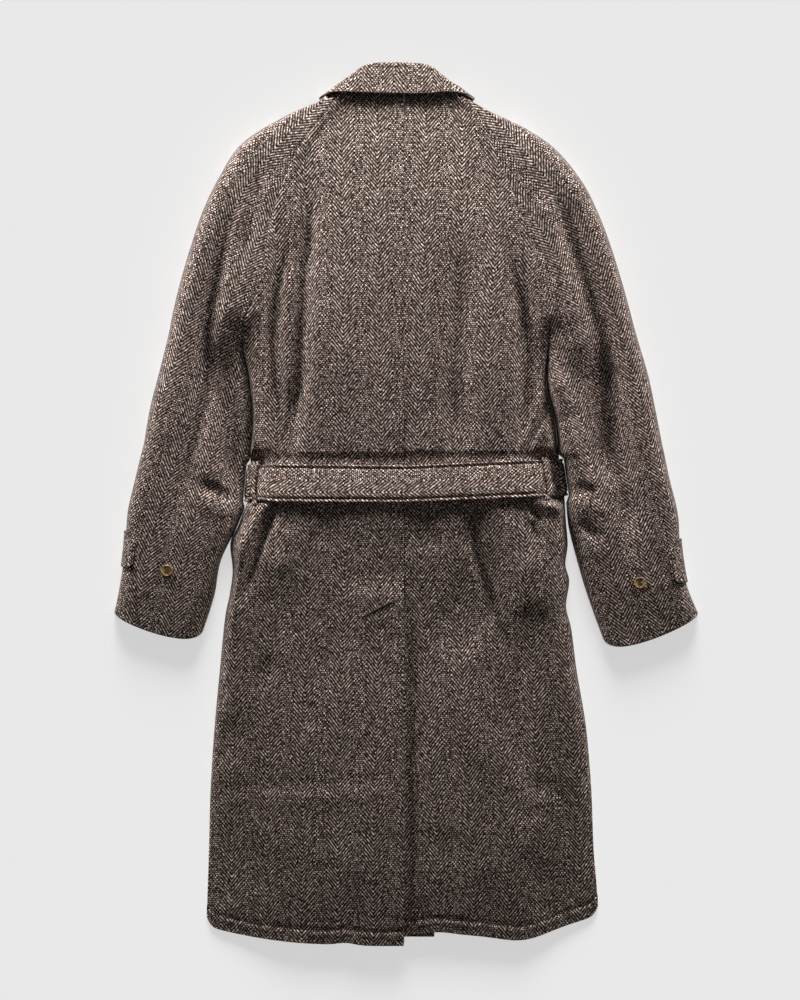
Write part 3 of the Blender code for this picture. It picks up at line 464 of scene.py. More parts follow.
# Shaders: their sockets in short, and the colour painted at grazing angles as the nap's sheen where the cloth
# turns away from view
SHADER_SOCKETS = {
    "color": "Base Color", "roughness": "Roughness", "specular": "Specular IOR Level", "sheen": "Sheen Weight",
    "sheen_roughness": "Sheen Roughness", "sheen_tint": "Sheen Tint", "coat": "Coat Weight",
    "coat_roughness": "Coat Roughness",
}
NAP_SHEEN_PAINT = (0.2, 0.165, 0.155, 1.0)

# Soft rise and fall of the laid cloth
UNEVEN_SIZE = 72.0
UNEVEN_HEIGHT = 1.3
RIPPLE_SIZE = 23.0
RIPPLE_HEIGHT = 0.3
RIPPLE_START = 7.0
BACK_START = 10.0
SLEEVE_START = 20.0

# Sewn lines: how deep a seam or a row of stitches draws the cloth in, and how wide
SEAM_DIP = 0.8
SEAM_DIP_WIDTH = 1.8
SEAM_SWELL = 0.5
SEAM_SWELL_LINE = 6.0
SEAM_SWELL_WIDTH = 3.0
SEAM_FADE = 40.0
HEM_LINE = 19.0
HEM_DIP = 1.0
HEM_DIP_WIDTH = 2.4
HEM_SWELL = 0.5
HEM_SWELL_LINE = 13.0
HEM_SWELL_WIDTH = 4.0
HEM_FIRST_COLUMN = 6
BELT_LINE = 0.09
BELT_DIP = 1.5
BELT_DIP_WIDTH = 0.03
BELT_SWELL = 0.5
BELT_SWELL_SHARE = 0.3
BELT_STITCH_END = 8
TACK_START = (-57.0, -147.0)
TACK_END = (-19.0, -127.5)
TACK_SPOTS = 15
TACK_LIP = (-50.0, -157.0, -12.0, -138.0)
TACK_LIP_RISE = 0.5
TACK_LIP_WIDTH = 8.0

# Rounded edges of a piece of cloth: their radius, and where their lines lie
EDGE_ROUND = 1.45
MIDDLE_ROUND = 0.7
EDGE_SHARES = (1.0, 0.66, 0.36, 0.14, 0.03)
EDGE_LIMIT = 0.98


def clamp(value):
    """Keep shares between 0 and 1."""
    return np.clip(value, 0.0, 1.0)


def ease(value):
    """Smooth step from 0 to 1."""
    share = clamp(value)
    return share * share * (3.0 - 2.0 * share)


def mix(first, second, share):
    """Value part of the way from first to second."""
    return first + (second - first) * share


def bump(value, width):
    """Soft round hump of height 1."""
    return np.exp(-(value / width) ** 2)


def length(vectors):
    """Lengths of vectors."""
    return np.linalg.norm(vectors, axis=-1)


def unit(vectors):
    """Vectors of length 1."""
    return vectors / length(vectors)[..., None]


def together(*parts):
    """Points or vectors from their parts."""
    return np.stack(parts, axis=-1)


def running(steps):
    """Sums of steps so far, from 0, along the last axis."""
    return np.concatenate((np.zeros((*steps.shape[:-1], 1)), np.cumsum(steps, axis=-1)), axis=-1)


def at_places(places, gone, line):
    """Points or vectors of a line at places along it."""
    return together(*(np.interp(places, gone, part) for part in line.T))


def table_rows(table, places):
    """Rows of a table at places between its rows, on a smooth curve: one array a column."""
    rows = np.array(table, dtype=float)
    places = np.asarray(places, dtype=float)
    first = np.minimum(places.astype(int), len(rows) - 2)
    share = (places - first)[:, None]
    a, b, c, d = (rows[np.clip(first + k, 0, len(rows) - 1)] for k in (-1, 0, 1, 2))
    curve = 0.5 * (2.0 * b + (c - a) * share + (2.0 * a - 5.0 * b + 4.0 * c - d) * share ** 2
                   + (3.0 * b - a - 3.0 * c + d) * share ** 3)
    return type(table[0])(*curve.T)


def even_places(table, steps):
    """Places of a table's rows, with more between them."""
    last = len(table) - 1
    return np.linspace(0.0, last, last * steps + 1)


def smooth_rows(table, steps):
    """All rows of a table, with more between them on a smooth curve."""
    return table_rows(table, even_places(table, steps))


def along_coat(table, y):
    """Value of a table of heights at a place along the coat."""
    heights = smooth_rows(table, ARM_STEPS)
    return np.interp(y, heights.y[::-1], heights.z[::-1])


def rounding(distance, reach):
    """Rise of a filled edge, from 0 at the edge to 1 at its reach."""
    gap = 1.0 - clamp(distance / reach)
    return (1.0 - gap ** ROUND_POWER) ** (1.0 / ROUND_POWER)


def line_distance(x, y, x0, y0, x1, y1):
    """Distance from points to a line, and how far along the line they are."""
    along_x = x1 - x0
    along_y = y1 - y0
    share = clamp(((x - x0) * along_x + (y - y0) * along_y) / (along_x ** 2 + along_y ** 2))
    return np.hypot(x - x0 - along_x * share, y - y0 - along_y * share), share


def fold_rise(x, y, folds):
    """Height that folds add to the cloth."""
    rise = np.zeros_like(x)
    for fold in folds:
        gap = np.full_like(x, np.inf)
        place = np.zeros_like(x)
        gone = 0.0
        for start, end in zip(fold.line, fold.line[1:]):
            distance, share = line_distance(x, y, *start, *end)
            step = math.dist(start, end)
            place = np.where(distance < gap, gone + share * step, place)
            gap = np.minimum(distance, gap)
            gone += step
        place = place / gone
        fade = ease(place / FOLD_FADE + FOLD_END) * ease((1.0 - place) / FOLD_FADE + FOLD_END)
        rise += fold.height * fade * bump(gap, fold.width)
    return rise


def uneven(x, y, size, height, start):
    """Soft uneven rise and fall of laid cloth."""
    found = [noise.noise(Vector((px / size, py / size, start))) for px, py in zip(x.ravel(), y.ravel())]
    return height * np.array(found).reshape(x.shape)


def band_lift(y):
    """Lift of the fronts over the belt that lies under them."""
    low, high = BELT_BAND
    return LAYER * clamp((y - low) / BAND_RAMP + 1.0) * clamp((high - y) / BAND_RAMP + 1.0)


def floor_lift(x, y):
    """Lift of the front layer over the belt, its lapped ends and the collar's leaves."""
    lap_start, lap_end = BELT_LAP
    lap = ease((x - lap_start) / LAP_RAMP + LAP_AHEAD) * ease((lap_end - x) / LAP_RAMP + LAP_AHEAD)
    leaf_line = LEAF_POINT + LEAF_SLOPE * np.abs(x - LEAF_MIDDLE)
    leaf = LEAF_LIFT * ease((y - leaf_line) / LEAF_RAMP + 1.0)
    return band_lift(y) * (1.0 + lap) + leaf


def rim_height(x, y):
    """Lowest height of the back layer's edge, clear of the front layer."""
    lifts = [floor_lift(x, y + shift) for shift in (-RIM_WATCH, 0.0, RIM_WATCH)]
    return np.max(lifts, axis=0) + WALL + RIM_CLEAR


def soft_rise(x, y, start):
    """Unevenness of a laid panel."""
    rise = uneven(x, y, UNEVEN_SIZE, UNEVEN_HEIGHT, start)
    return rise + uneven(x, y, RIPPLE_SIZE, RIPPLE_HEIGHT, start + RIPPLE_START)


def hem_line(share, waves):
    """Share of the hem's drop, from the side to the middle."""
    gap = 1.0 - clamp(share)
    corner = HEM_CORNER_SHARE * gap ** HEM_CORNER_POWER
    line = 1.0 - (1.0 - HEM_CORNER_SHARE) * gap ** HEM_SIDE_POWER - corner
    return line + sum(wave.size * bump(share - wave.at, wave.width) for wave in waves)


BackRows = namedtuple("BackRows", "side_x side_y middle_y hem seam_z drop")
Half = namedtuple(
    "Half", "side hand arm cuff waist skirt waves tab grain folds loop pinch sleeve_grain sleeve_valley")
Panel = namedtuple("Panel", "grid normals grain distance bed bed_normals")


def back_rows(half):
    """Side edge, middle, seam height and drop of every row of a back panel."""
    upper = smooth_rows(half.arm, ARM_STEPS)
    belt = Side(*(mix(first, second, np.array(WAIST_SHARES)) for first, second in zip(*half.waist)))
    last = len(half.skirt) - 1
    places = np.concatenate((even_places(half.skirt[:-1], SKIRT_STEPS)[1:],
                             np.linspace(last - 1, last, HEM_STEPS + 1)[1:]))
    lower = table_rows(half.skirt, places)
    below = Side(*(np.concatenate(pair) for pair in zip(belt, lower)))
    blank = np.zeros(len(upper.seam_x))
    low = np.zeros(len(below.side_x))
    upper = (upper.seam_x, upper.seam_y, upper.seam_y, blank, upper.seam_z, clamp(upper.drop))
    lower = (below.side_x, below.side_y, below.middle_y, clamp(below.hem), low, low + 1.0)
    return BackRows(*(np.concatenate(pair) for pair in zip(upper, lower)))


def belt_top_row(half):
    """First row of a back panel under the belt."""
    return (len(half.arm) - 1) * ARM_STEPS + 1


def belt_hold(half, count):
    """Share of a back panel's folds that the belt presses flat, row by row."""
    hold = np.zeros(count)
    shares = np.array(WAIST_SHARES)
    top = belt_top_row(half)
    hold[top:top + len(shares)] = ease(np.minimum(shares, 1.0 - shares) / BELT_HOLD)
    return hold[:, None]


def belt_shape(half, middle_y):
    """Rise of the belt's bed to its lower edge and the hollow below it, row by row."""
    top = belt_top_row(half)
    bottom = top + len(WAIST_SHARES)
    shape = np.zeros(len(middle_y))
    shape[top:bottom] = BELT_TILT * np.array(WAIST_SHARES)
    below = middle_y[bottom - 1] - middle_y[bottom:]
    hollow = ease(below / HOLLOW_STEP) * (1.0 - ease((below - HOLLOW_STEP) / HOLLOW_REACH))
    shape[bottom:] = BELT_TILT * (1.0 - ease(below / BELT_FALL)) - HOLLOW * hollow
    shape[top - 1] = -BELT_CREASE
    return shape[:, None]


def back_heights(half, rows, x, y, distance):
    """Heights of the outside of a back panel: with its folds, and pressed smooth."""
    hand = half.hand
    rim = rim_height(x, y)
    edge = mix(rows.seam_z, rim, rows.drop)
    crown = mix(along_coat(SIDE_HEIGHT, y), along_coat(BACK_HEIGHT, y), ease(distance / CROWN_REACH))
    crown += belt_shape(half, rows.middle_y[:, 0])
    shape = mix(ease(distance / SEAM_REACH), rounding(distance, BODY_ROUND), rows.drop)
    smooth = mix(edge, crown, shape)
    if hand < 0:
        reach = ease((x - MIDDLE_X + UNDERLAP + FLAP_AHEAD) / FLAP_RAMP)
        smooth += FLAP_RISE * reach * ease((VENT_TOP + FLAP_RAMP - y) / FLAP_RAMP)
    low, high = PINCH_BAND
    near = ease((y - low) / PINCH_RAMP) * ease((high - y) / PINCH_RAMP)
    held_in = mix(PINCH_SHARE, 1.0, ease((distance - PINCH_START) / half.pinch))
    smooth = rim + (smooth - rim) * mix(1.0, held_in, near)
    folds = fold_rise(x, y, half.folds) + soft_rise(x, y, BACK_START + hand)
    folds *= ease(distance / FOLD_START) * (1.0 - belt_hold(half, len(x)))
    return np.maximum(smooth + folds, rim), np.maximum(smooth, rim)


def back_panel(half):
    """Outside points of one half of the back, row by row from the side to the middle."""
    rows = BackRows(*(column[:, None] for column in back_rows(half)))
    hand = half.hand
    edge_x = rows.side_x - hand * SEAM / 2.0
    middle_x = MIDDLE_X + hand * SEAM / 2.0 + 0.0 * edge_x
    if hand > 0:
        middle_x = middle_x - UNDERLAP * clamp((VENT_TOP - rows.middle_y) / VENT_SLANT)
    width = np.abs(edge_x - middle_x)
    rim = BODY_ROUND * np.array(RIM_STEPS) + 0.0 * width
    inner = mix(BODY_ROUND, width, np.linspace(0.0, 1.0, BODY_COLUMNS + 1))
    distance = np.hstack((rim, inner))
    share = distance / width
    x = edge_x - hand * distance
    y = mix(rows.side_y, rows.middle_y, mix(share, hem_line(share, half.waves), rows.hem))
    made = []
    for z in back_heights(half, rows, x, y, distance):
        grid = together(x, y, z)
        normals = panel_normals(grid, rows.drop[:, 0], None)
        normals[:, -1, 0] = 0.0
        normals[:, -1] = unit(normals[:, -1])
        made.append((grid, normals))
    (grid, normals), (bed, bed_normals) = made
    return Panel(grid, normals, back_grain(half, x, y, grid[..., 2]), distance, bed, bed_normals)


def back_grain(half, x, y, z):
    """Place of the weave on a back panel: across from the centre seam, and along."""
    hand = half.hand
    arc = running(np.hypot(np.diff(x, axis=1), np.diff(z, axis=1)))
    middle = [np.interp(-hand * MIDDLE_X, -hand * line, lengths) for line, lengths in zip(x, arc)]
    from_seam = np.array(middle)[:, None] - arc
    valley = np.interp(y, GRAIN_Y, half.grain)
    return together(VALLEY + hand * (from_seam - valley), y)


def steps_between(grid, axis):
    """Step from the point before to the point after each point, along one axis."""
    pads = [(0, 0)] * grid.ndim
    pads[axis] = (1, 1)
    wide = np.pad(grid, pads, mode="edge")
    count = grid.shape[axis]
    return np.take(wide, range(2, count + 2), axis) - np.take(wide, range(count), axis)


def grid_normals(grid):
    """Upward normals at the points of a grid."""
    normals = unit(np.cross(steps_between(grid, 0), steps_between(grid, 1)))
    return normals * np.where(normals[..., 2:] < 0.0, -1.0, 1.0)


def edge_facing(grid, column, sideways):
    """Level direction away from a panel along its edge, and the way that the edge faces."""
    along = steps_between(grid[:, column], 0)
    side = unit(together(along[:, 1], -along[:, 0], 0.0 * along[:, 0]))
    outward = grid[:, column] - grid[:, -1 - column]
    side *= np.where((side * outward).sum(axis=-1) > 0.0, 1.0, -1.0)[:, None]
    return side, unit(side * sideways[:, None] + UP * (1.0 - sideways)[:, None])


def panel_normals(grid, first_sideways, last_sideways):
    """Normals of a panel, turned along its first and last columns to suit its edges."""
    normals = grid_normals(grid)
    ends = [(0, first_sideways)]
    if last_sideways is not None:
        ends.insert(0, (-1, last_sideways))
    for column, sideways in ends:
        side, facing = edge_facing(grid, column, sideways)
        inside = ((grid[:, column][:, None] - grid) * side[:, None]).sum(axis=-1)
        normals = unit(mix(facing[:, None], normals, ease(inside / EDGE_TURN)[..., None]))
        normals[:, column] = facing
    return normals


SleeveRows = namedtuple("SleeveRows", "inner outer crown bow seam_z drop place")


def press_aside(half, x, y):
    """Inner edge of a sleeve, pressed outward where the belt comes round the body's side."""
    top, bottom = half.waist
    beside = mix(top.side_x, bottom.side_x, clamp((top.side_y - y) / (top.side_y - bottom.side_y)))
    near = ease((top.side_y + PRESS_RAMP - y) / PRESS_RAMP)
    near *= ease((y - bottom.side_y + PRESS_RAMP) / PRESS_RAMP)
    short = np.maximum(half.hand * (beside - x) + BELT_OUT, 0.0)
    return x + half.hand * short * near


def sleeve_rows(half):
    """Inner and outer edge, heights and drop of every row of a sleeve."""
    upper = smooth_rows(half.arm, ARM_STEPS)
    lower = Cuff(*(column[1:] for column in smooth_rows(half.cuff, ARM_STEPS)))
    blank = np.zeros(len(upper.seam_x))
    low = np.zeros(len(lower.bow))
    upper = (upper.seam_x, upper.seam_y, upper.edge_x, upper.edge_y, upper.crown, blank, upper.seam_z,
             clamp(upper.drop))
    lower = (*lower[:-1], np.maximum(lower.bow, 0.0), low, low + 1.0)
    inner_x, inner_y, edge_x, edge_y, *heights = (np.concatenate(pair) for pair in zip(upper, lower))
    place = np.arange(len(inner_x)) / ARM_STEPS - (len(half.arm) - 1)
    inner = together(press_aside(half, inner_x, inner_y), inner_y)
    return SleeveRows(inner, together(edge_x, edge_y), *heights, place)


def tab_lift(place, distance, tab):
    """Lift of the sleeve's front half over the hidden end of its tab."""
    along = ease(TAB_SLOPE * (place - tab.top) + TAB_AHEAD)
    along = along * ease(TAB_SLOPE * (tab.bottom - place) + TAB_AHEAD)
    return LAYER * along * ease((TAB_UNDER + 2.0 * TAB_RAMP - distance) / TAB_RAMP)


def sleeve_panel(half):
    """Outside points of a sleeve's back half, row by row from the inner to the outer edge."""
    rows = sleeve_rows(half)
    across = unit(rows.outer - rows.inner)
    start = rows.inner + across * (SEAM / 2.0)
    width = length(rows.outer - start)[:, None]
    down = together(across[:, 1], -across[:, 0])
    down *= np.where(down[:, 1:] > 0.0, -1.0, 1.0)
    reach = np.minimum(SLEEVE_ROUND, SLEEVE_ROUND_SHARE * width)
    rim = reach * np.array(RIM_STEPS)
    inner = mix(reach, width - reach, np.linspace(0.0, 1.0, SLEEVE_COLUMNS + 1))
    distance = np.hstack((rim, inner, width - rim[:, ::-1]))
    swell = (1.0 - np.abs(2.0 * (distance / width) ** CUFF_LEAN - 1.0) ** CUFF_SQUARE) ** CUFF_FULL
    plan = start[:, None] + across[:, None] * distance[..., None]
    plan = plan + down[:, None] * (rows.bow[:, None] * swell)[..., None]
    x, y = plan[..., 0], plan[..., 1]
    inner_rim = rim_height(start[:, 0], start[:, 1])[:, None]
    lift = tab_lift(rows.place, 0.0, half.tab) + WALL + RIM_CLEAR
    outer_rim = np.maximum(rim_height(rows.outer[:, 0], rows.outer[:, 1]), lift)[:, None]
    drop = rows.drop[:, None]
    edge = mix(rows.seam_z[:, None], inner_rim, drop)
    shape = mix(ease(distance / (SLEEVE_SEAM_SHARE * width)), rounding(distance, reach), drop)
    folds = fold_rise(x, y, half.folds) + soft_rise(x, y, SLEEVE_START + half.hand)
    from_seam = mix(edge, rows.crown[:, None] + folds, shape)
    z = mix(outer_rim, from_seam, rounding(width - distance, reach))
    grid = together(x, y, np.maximum(z, np.minimum(inner_rim, outer_rim)))
    normals = panel_normals(grid, rows.drop, np.ones(len(rows.drop)))
    return Panel(grid, normals, sleeve_grain(half, grid), distance, grid, normals)


def grain_place(line, plan):
    """Places on the cloth: to the right of a grain line, and along it from its foot."""
    nearest = np.full(plan.shape[:-1], np.inf)
    across = np.zeros_like(nearest)
    along = np.zeros_like(nearest)
    gone = 0.0
    last = len(line) - 2
    for k, (start, end) in enumerate(zip(line, line[1:])):
        far = length(end - start)
        way = unit(end - start)
        reach = (plan - start) @ way
        reach = np.clip(reach, -np.inf if k == 0 else 0.0, np.inf if k == last else far)
        apart = plan - start - reach[..., None] * way
        gap = length(apart)
        side = apart @ np.array((-way[1], way[0]))
        across = np.where(gap < nearest, np.sign(side) * gap, across)
        along = np.where(gap < nearest, gone + reach, along)
        nearest = np.minimum(gap, nearest)
        gone += far
    return across, -along


def sleeve_grain(half, grid):
    """Place of the weave on a sleeve: across from a valley of it, and along it."""
    line = together(*smooth_rows(half.sleeve_grain, ARM_STEPS))
    across, along = grain_place(line, grid[..., :2])
    valley = grain_place(line, np.array([half.sleeve_valley]))[0]
    steps = np.diff(grid, axis=1)
    slope = running(length(steps) - length(steps[..., :2]))
    middle = grid.shape[1] // 2
    slope = slope - slope[:, middle:middle + 1]
    return together(VALLEY + across - valley + half.hand * slope, along)


def soft_edge(layers, axis, last, radius):
    """Outside, inside and weave of a panel with more lines where an edge rounds over."""
    views = [np.moveaxis(layer, axis, 0) for layer in layers]
    if not last:
        views = [view[::-1] for view in views]
    outer, inner, grain = views
    last_step = length(outer[-1] - outer[-2])[..., None]
    through = unit(inner[-1] - outer[-1])
    lines = ([], [], [])
    for part in EDGE_SHARES:
        share = np.minimum(part * radius / last_step, EDGE_LIMIT)
        drop = radius - math.sqrt(radius ** 2 - (radius * (1.0 - part)) ** 2)
        lines[0].append(mix(outer[-1], outer[-2], share) + through * drop)
        lines[1].append(mix(inner[-1], inner[-2], share) - through * drop)
        lines[2].append(mix(grain[-1], grain[-2], share))
    made = [np.concatenate((view[:-1], np.array(added))) for view, added in zip(views, lines)]
    if not last:
        made = [view[::-1] for view in made]
    return tuple(np.moveaxis(view, 0, axis) for view in made)


def soft_edges(layers, edges, radius=EDGE_ROUND):
    """Panel with several rounded edges: the axis of each, and whether it is the last line."""
    for axis, last in edges:
        layers = soft_edge(layers, axis, last, radius)
    return layers


def put(name, data):
    """New object in the scene."""
    made = bpy.data.objects.new(name, data)
    bpy.context.collection.objects.link(made)
    return made


def settle(piece):
    """Make what a piece's modifiers give its own mesh, and remove them."""
    mesh = bpy.data.meshes.new_from_object(piece.evaluated_get(bpy.context.evaluated_depsgraph_get()))
    piece.modifiers.clear()
    piece.data = mesh
    return mesh


def cloth_mesh(name, points, faces, grain, material):
    """Object from points in millimetres, with its weave on a UV map."""
    shape = bmesh.new()
    corners = [shape.verts.new(point) for point in points * MM]
    for face in faces:
        shape.faces.new([corners[k] for k in face])
    bmesh.ops.recalc_face_normals(shape, faces=shape.faces)
    mesh = bpy.data.meshes.new(name)
    shape.to_mesh(mesh)
    shape.free()
    mesh.polygons.foreach_set("use_smooth", [True] * len(mesh.polygons))
    owner = np.empty(len(mesh.loops), dtype=np.int32)
    mesh.loops.foreach_get("vertex_index", owner)
    layer = mesh.uv_layers.new(name="grain")
    layer.data.foreach_set("uv", (grain * MM)[owner].ravel())
    mesh.materials.append(material)
    return put(name, mesh)


def cloth_wall(name, layers, material):
    """Closed shell of cloth between its outside and its inside."""
    outer, inner, grain = layers
    rows, columns = outer.shape[:2]
    top = np.arange(rows * columns).reshape(rows, columns)
    under = top + rows * columns
    faces = [together(top[:-1, :-1], top[:-1, 1:], top[1:, 1:], top[1:, :-1]),
             together(under[:-1, :-1], under[1:, :-1], under[1:, 1:], under[:-1, 1:])]
    for first, second in ((top[:, 0], under[:, 0]), (top[:, -1], under[:, -1]),
                          (top[0], under[0]), (top[-1], under[-1])):
        faces.append(together(first[:-1], first[1:], second[1:], second[:-1]))
    faces = np.concatenate([group.reshape(-1, 4) for group in faces])
    points = np.concatenate((outer.reshape(-1, 3), inner.reshape(-1, 3)))
    weave = np.concatenate((grain.reshape(-1, 2), grain.reshape(-1, 2)))
    return cloth_mesh(name, points, faces.tolist(), weave, material)


def seam_relief(panel, half):
    """Dip of a panel along its raglan seam, and the share of each row that has it."""
    seam_rows = ease((panel.grid[..., 1] - half.arm[ARMPIT].seam_y) / SEAM_FADE)
    return -SEAM_DIP * seam_rows * bump(panel.distance, SEAM_DIP_WIDTH), seam_rows


def back_relief(panel, half):
    """Narrow rise and fall of a back panel along its seams, its hem and its vent."""
    x, y = panel.grid[..., 0], panel.grid[..., 1]
    relief, seam_rows = seam_relief(panel, half)
    relief += SEAM_SWELL * seam_rows * bump(panel.distance - SEAM_SWELL_LINE, SEAM_SWELL_WIDTH)
    above_hem = y - y[-1:]
    relief -= HEM_DIP * bump(above_hem - HEM_LINE, HEM_DIP_WIDTH)
    relief += HEM_SWELL * bump(above_hem - HEM_SWELL_LINE, HEM_SWELL_WIDTH)
    if half.hand < 0:
        relief += TACK_LIP_RISE * bump(line_distance(x, y, *TACK_LIP)[0], TACK_LIP_WIDTH)
    return relief


def panel_layers(panel, relief):
    """Outside, inside and weave of a panel."""
    return (panel.grid + panel.normals * relief[..., None], panel.grid - panel.normals * WALL, panel.grain)


def make_back(half, material):
    """One half of the back: a crowned shell that rounds down at its side."""
    panel = back_panel(half)
    layers = panel_layers(panel, back_relief(panel, half))
    hem = hem_stitch_line(layers[0])
    layers = soft_edges(soft_edges(layers, [(0, True)]), [(1, True)], MIDDLE_ROUND)
    return panel, hem, cloth_wall("tweed_back_" + half.side, layers, material)


def make_sleeve_back(half, material):
    """Back half of a sleeve."""
    panel = sleeve_panel(half)
    layers = soft_edges(panel_layers(panel, seam_relief(panel, half)[0]), [(0, True)])
    return panel, cloth_wall("tweed_sleeve_" + half.side + "_back", layers, material)


def flat_layers(under, grain):
    """Outside, inside and weave of a panel that lies on its outside."""
    rise = np.zeros_like(under)
    rise[..., 2] = WALL
    return under, under + rise, grain


def front_rows(half):
    """Side edge and middle height of every row of a front panel."""
    low, high = BELT_BAND
    places = even_places(half.arm, ARM_STEPS)[ARM_STEPS:]
    upper = table_rows(half.arm, places)
    drop = FRONT_NECK_DROP * ease(1.0 - (places - 1.0) / FRONT_NECK_PLACES)
    keep = upper.seam_y > high + BAND_RAMP + FRONT_ROW_GAP
    band = np.linspace(high + BAND_RAMP, low - BAND_RAMP, BAND_STEPS)
    lower = smooth_rows(half.skirt, SKIRT_STEPS)
    shown = lower.side_y < low - BAND_RAMP - FRONT_ROW_GAP
    waist_x = half.waist[0].side_x + 0.0 * band
    side_x = np.concatenate((upper.seam_x[keep], waist_x, lower.side_x[shown]))
    side_y = np.concatenate((upper.seam_y[keep], band, lower.side_y[shown]))
    middle_y = np.concatenate(((upper.seam_y - drop)[keep], band,
                               (lower.middle_y + FRONT_HEM_SHORT * clamp(lower.hem))[shown]))
    return side_x[:, None], side_y[:, None], middle_y[:, None]


def make_front(half, material):
    """One front, flat on the floor but for what lies under it."""
    hand = half.hand
    side_x, side_y, middle_y = front_rows(half)
    share = np.linspace(0.0, 1.0, FRONT_COLUMNS + 1)[None]
    x = mix(side_x - hand * SEAM, MIDDLE_X - hand * FRONT_LAP, share)
    y = mix(side_y, middle_y, ease(FRONT_LEVEL * share))
    lift = floor_lift(x, y)
    if hand > 0:
        past = MIDDLE_X + FRONT_LAP + FRONT_LAP_REACH - x
        lift = lift + FRONT_LAP_RISE * ease(past / FRONT_LAP_RAMP)
    layers = flat_layers(together(x, y, lift), together(VALLEY - x, y))
    layers = soft_edges(layers, [(0, True), (1, True)])
    return cloth_wall("tweed_front_" + half.side, layers, material)


def make_sleeve_front(half, material):
    """Front half of a sleeve, flat on the floor but for its tab."""
    rows = SleeveRows(*(column[ARM_STEPS:] for column in sleeve_rows(half)))
    across = unit(rows.outer - rows.inner)
    start = rows.inner + across * SEAM
    width = length(rows.outer - start) - SEAM
    share = np.linspace(0.0, 1.0, SLEEVE_FRONT_COLUMNS + 1)
    plan = start[:, None] + across[:, None] * (width[:, None] * share)[..., None]
    x, y = plan[..., 0], plan[..., 1]
    lift = tab_lift(rows.place[:, None], width[:, None] * (1.0 - share), half.tab)
    lift = lift + floor_lift(x, y) * ease((y - LEAF_SLEEVE_Y) / LEAF_SLEEVE_RAMP)
    under = together(x, y, lift)
    layers = soft_edges(flat_layers(under, sleeve_grain(half, under)), [(0, True)])
    return cloth_wall("tweed_sleeve_" + half.side + "_front", layers, material)


def lerp_spots(first, second, spots):
    """Points between two lines of points, as one more axis."""
    return mix(first[:, None], second[:, None], spots[None, :, None])


def make_collar(material):
    """Collar: fall and stand of one piece, folded over all round the neck."""
    stations = smooth_rows(COLLAR, COLLAR_STEPS)
    neck, fold, edge = (together(*stations[k:k + 3]) for k in (0, 3, 6))
    count = len(neck)
    ahead = np.where(np.arange(count) <= count // 2, 1.0, -1.0)[:, None]
    rise = unit(fold - edge)
    flat = unit(rise * LEVEL)
    side = together(-flat[:, 1], flat[:, 0], 0.0 * flat[:, 0]) * ahead
    tilt = np.radians(stations.tilt)[:, None]
    out = side * np.cos(tilt) + UP * np.sin(tilt)
    out = unit(out - rise * (out * rise).sum(axis=-1, keepdims=True))
    far = WALL + SEAM
    middle = (far + SEAM) / 2.0
    half_wall = (far - SEAM) / 2.0
    turn = np.linspace(0.0, math.pi, COLLAR_BEND_STEPS + 1)[1:-1, None]
    edge_turn = np.linspace(0.0, math.pi, COLLAR_EDGE_STEPS + 1)[1:-1, None]
    wide_out, wide_rise = out[:, None], rise[:, None]
    away = unit(neck - fold)[:, None]
    fall = lerp_spots(edge, fold, COLLAR_SPOTS) + wide_out * far
    bend = fold[:, None] + wide_out * far * np.cos(turn) + wide_rise * far * np.sin(turn)
    stand = lerp_spots(fold, neck, COLLAR_SPOTS) - wide_out * far
    neck_turn = (neck[:, None] - wide_out * (middle + half_wall * np.cos(edge_turn))
                 + away * half_wall * np.sin(edge_turn))
    stand_lining = lerp_spots(neck, fold, COLLAR_SPOTS) - wide_out * SEAM
    fall_lining = lerp_spots(fold, edge, COLLAR_SPOTS) + wide_out * SEAM
    edge_bend = (edge[:, None] + wide_out * (middle - half_wall * np.cos(edge_turn))
                 - wide_rise * half_wall * np.sin(edge_turn))
    rings = np.concatenate((fall, bend, stand, neck_turn, stand_lining, fall_lining, edge_bend), axis=1)
    rings[..., 2] = np.maximum(rings[..., 2], 0.0)
    total = rings.shape[1]
    index = np.arange(count * total).reshape(count, total)
    ahead_index = np.roll(index, -1, axis=1)
    faces = together(index[:-1], ahead_index[:-1], ahead_index[1:], index[1:]).reshape(-1, 4).tolist()
    spots = len(COLLAR_SPOTS)
    stand_start = spots + COLLAR_BEND_STEPS - 1
    stand_end = stand_start + 2 * spots + COLLAR_EDGE_STEPS - 1
    for ring in (index[0].tolist(), index[-1].tolist()):
        faces.append(ring[:spots] + ring[stand_end:])
        faces.append(ring[spots - 1:stand_start + 1] + ring[stand_end - 1:stand_end + 1])
        faces.append(ring[stand_start:stand_end])
    around = running(length(np.diff(rings, axis=1)))
    run = running(length(np.diff(fold, axis=0)))
    grain = together(VALLEY - (run - run[count // 2])[:, None] + 0.0 * around, -around)
    return cloth_mesh("tweed_collar", rings.reshape(-1, 3), faces, grain.reshape(-1, 2), material)


def belt_swell(shares):
    """Rise of the belt across its width: full in the middle, drawn in along its stitching."""
    inner = np.minimum(shares, 1.0 - shares)
    dip = BELT_DIP * bump(inner - BELT_LINE, BELT_DIP_WIDTH)
    return BELT_SWELL * ease(inner / BELT_SWELL_SHARE) - dip


def belt_under(ends, x, raised):
    """Inside and outside lines of the belt where it lies on the floor."""
    left, right = ends
    x = x + 0.0 * left[:, 0]
    y = mix(left[:, 1], right[:, 1], (x - left[:, 0]) / (right[:, 0] - left[:, 0]))
    inside = together(x, y, raised + WALL + 0.0 * x)
    return inside, inside - UP * WALL


def belt_turn(edge, hand):
    """Inside and outside lines of the belt where it turns under a side."""
    inside = edge * LEVEL + UP * WALL
    outside = edge * LEVEL + np.array((hand * TURN_OUT * WALL, 0.0, TURN_DOWN * WALL))
    return inside, outside


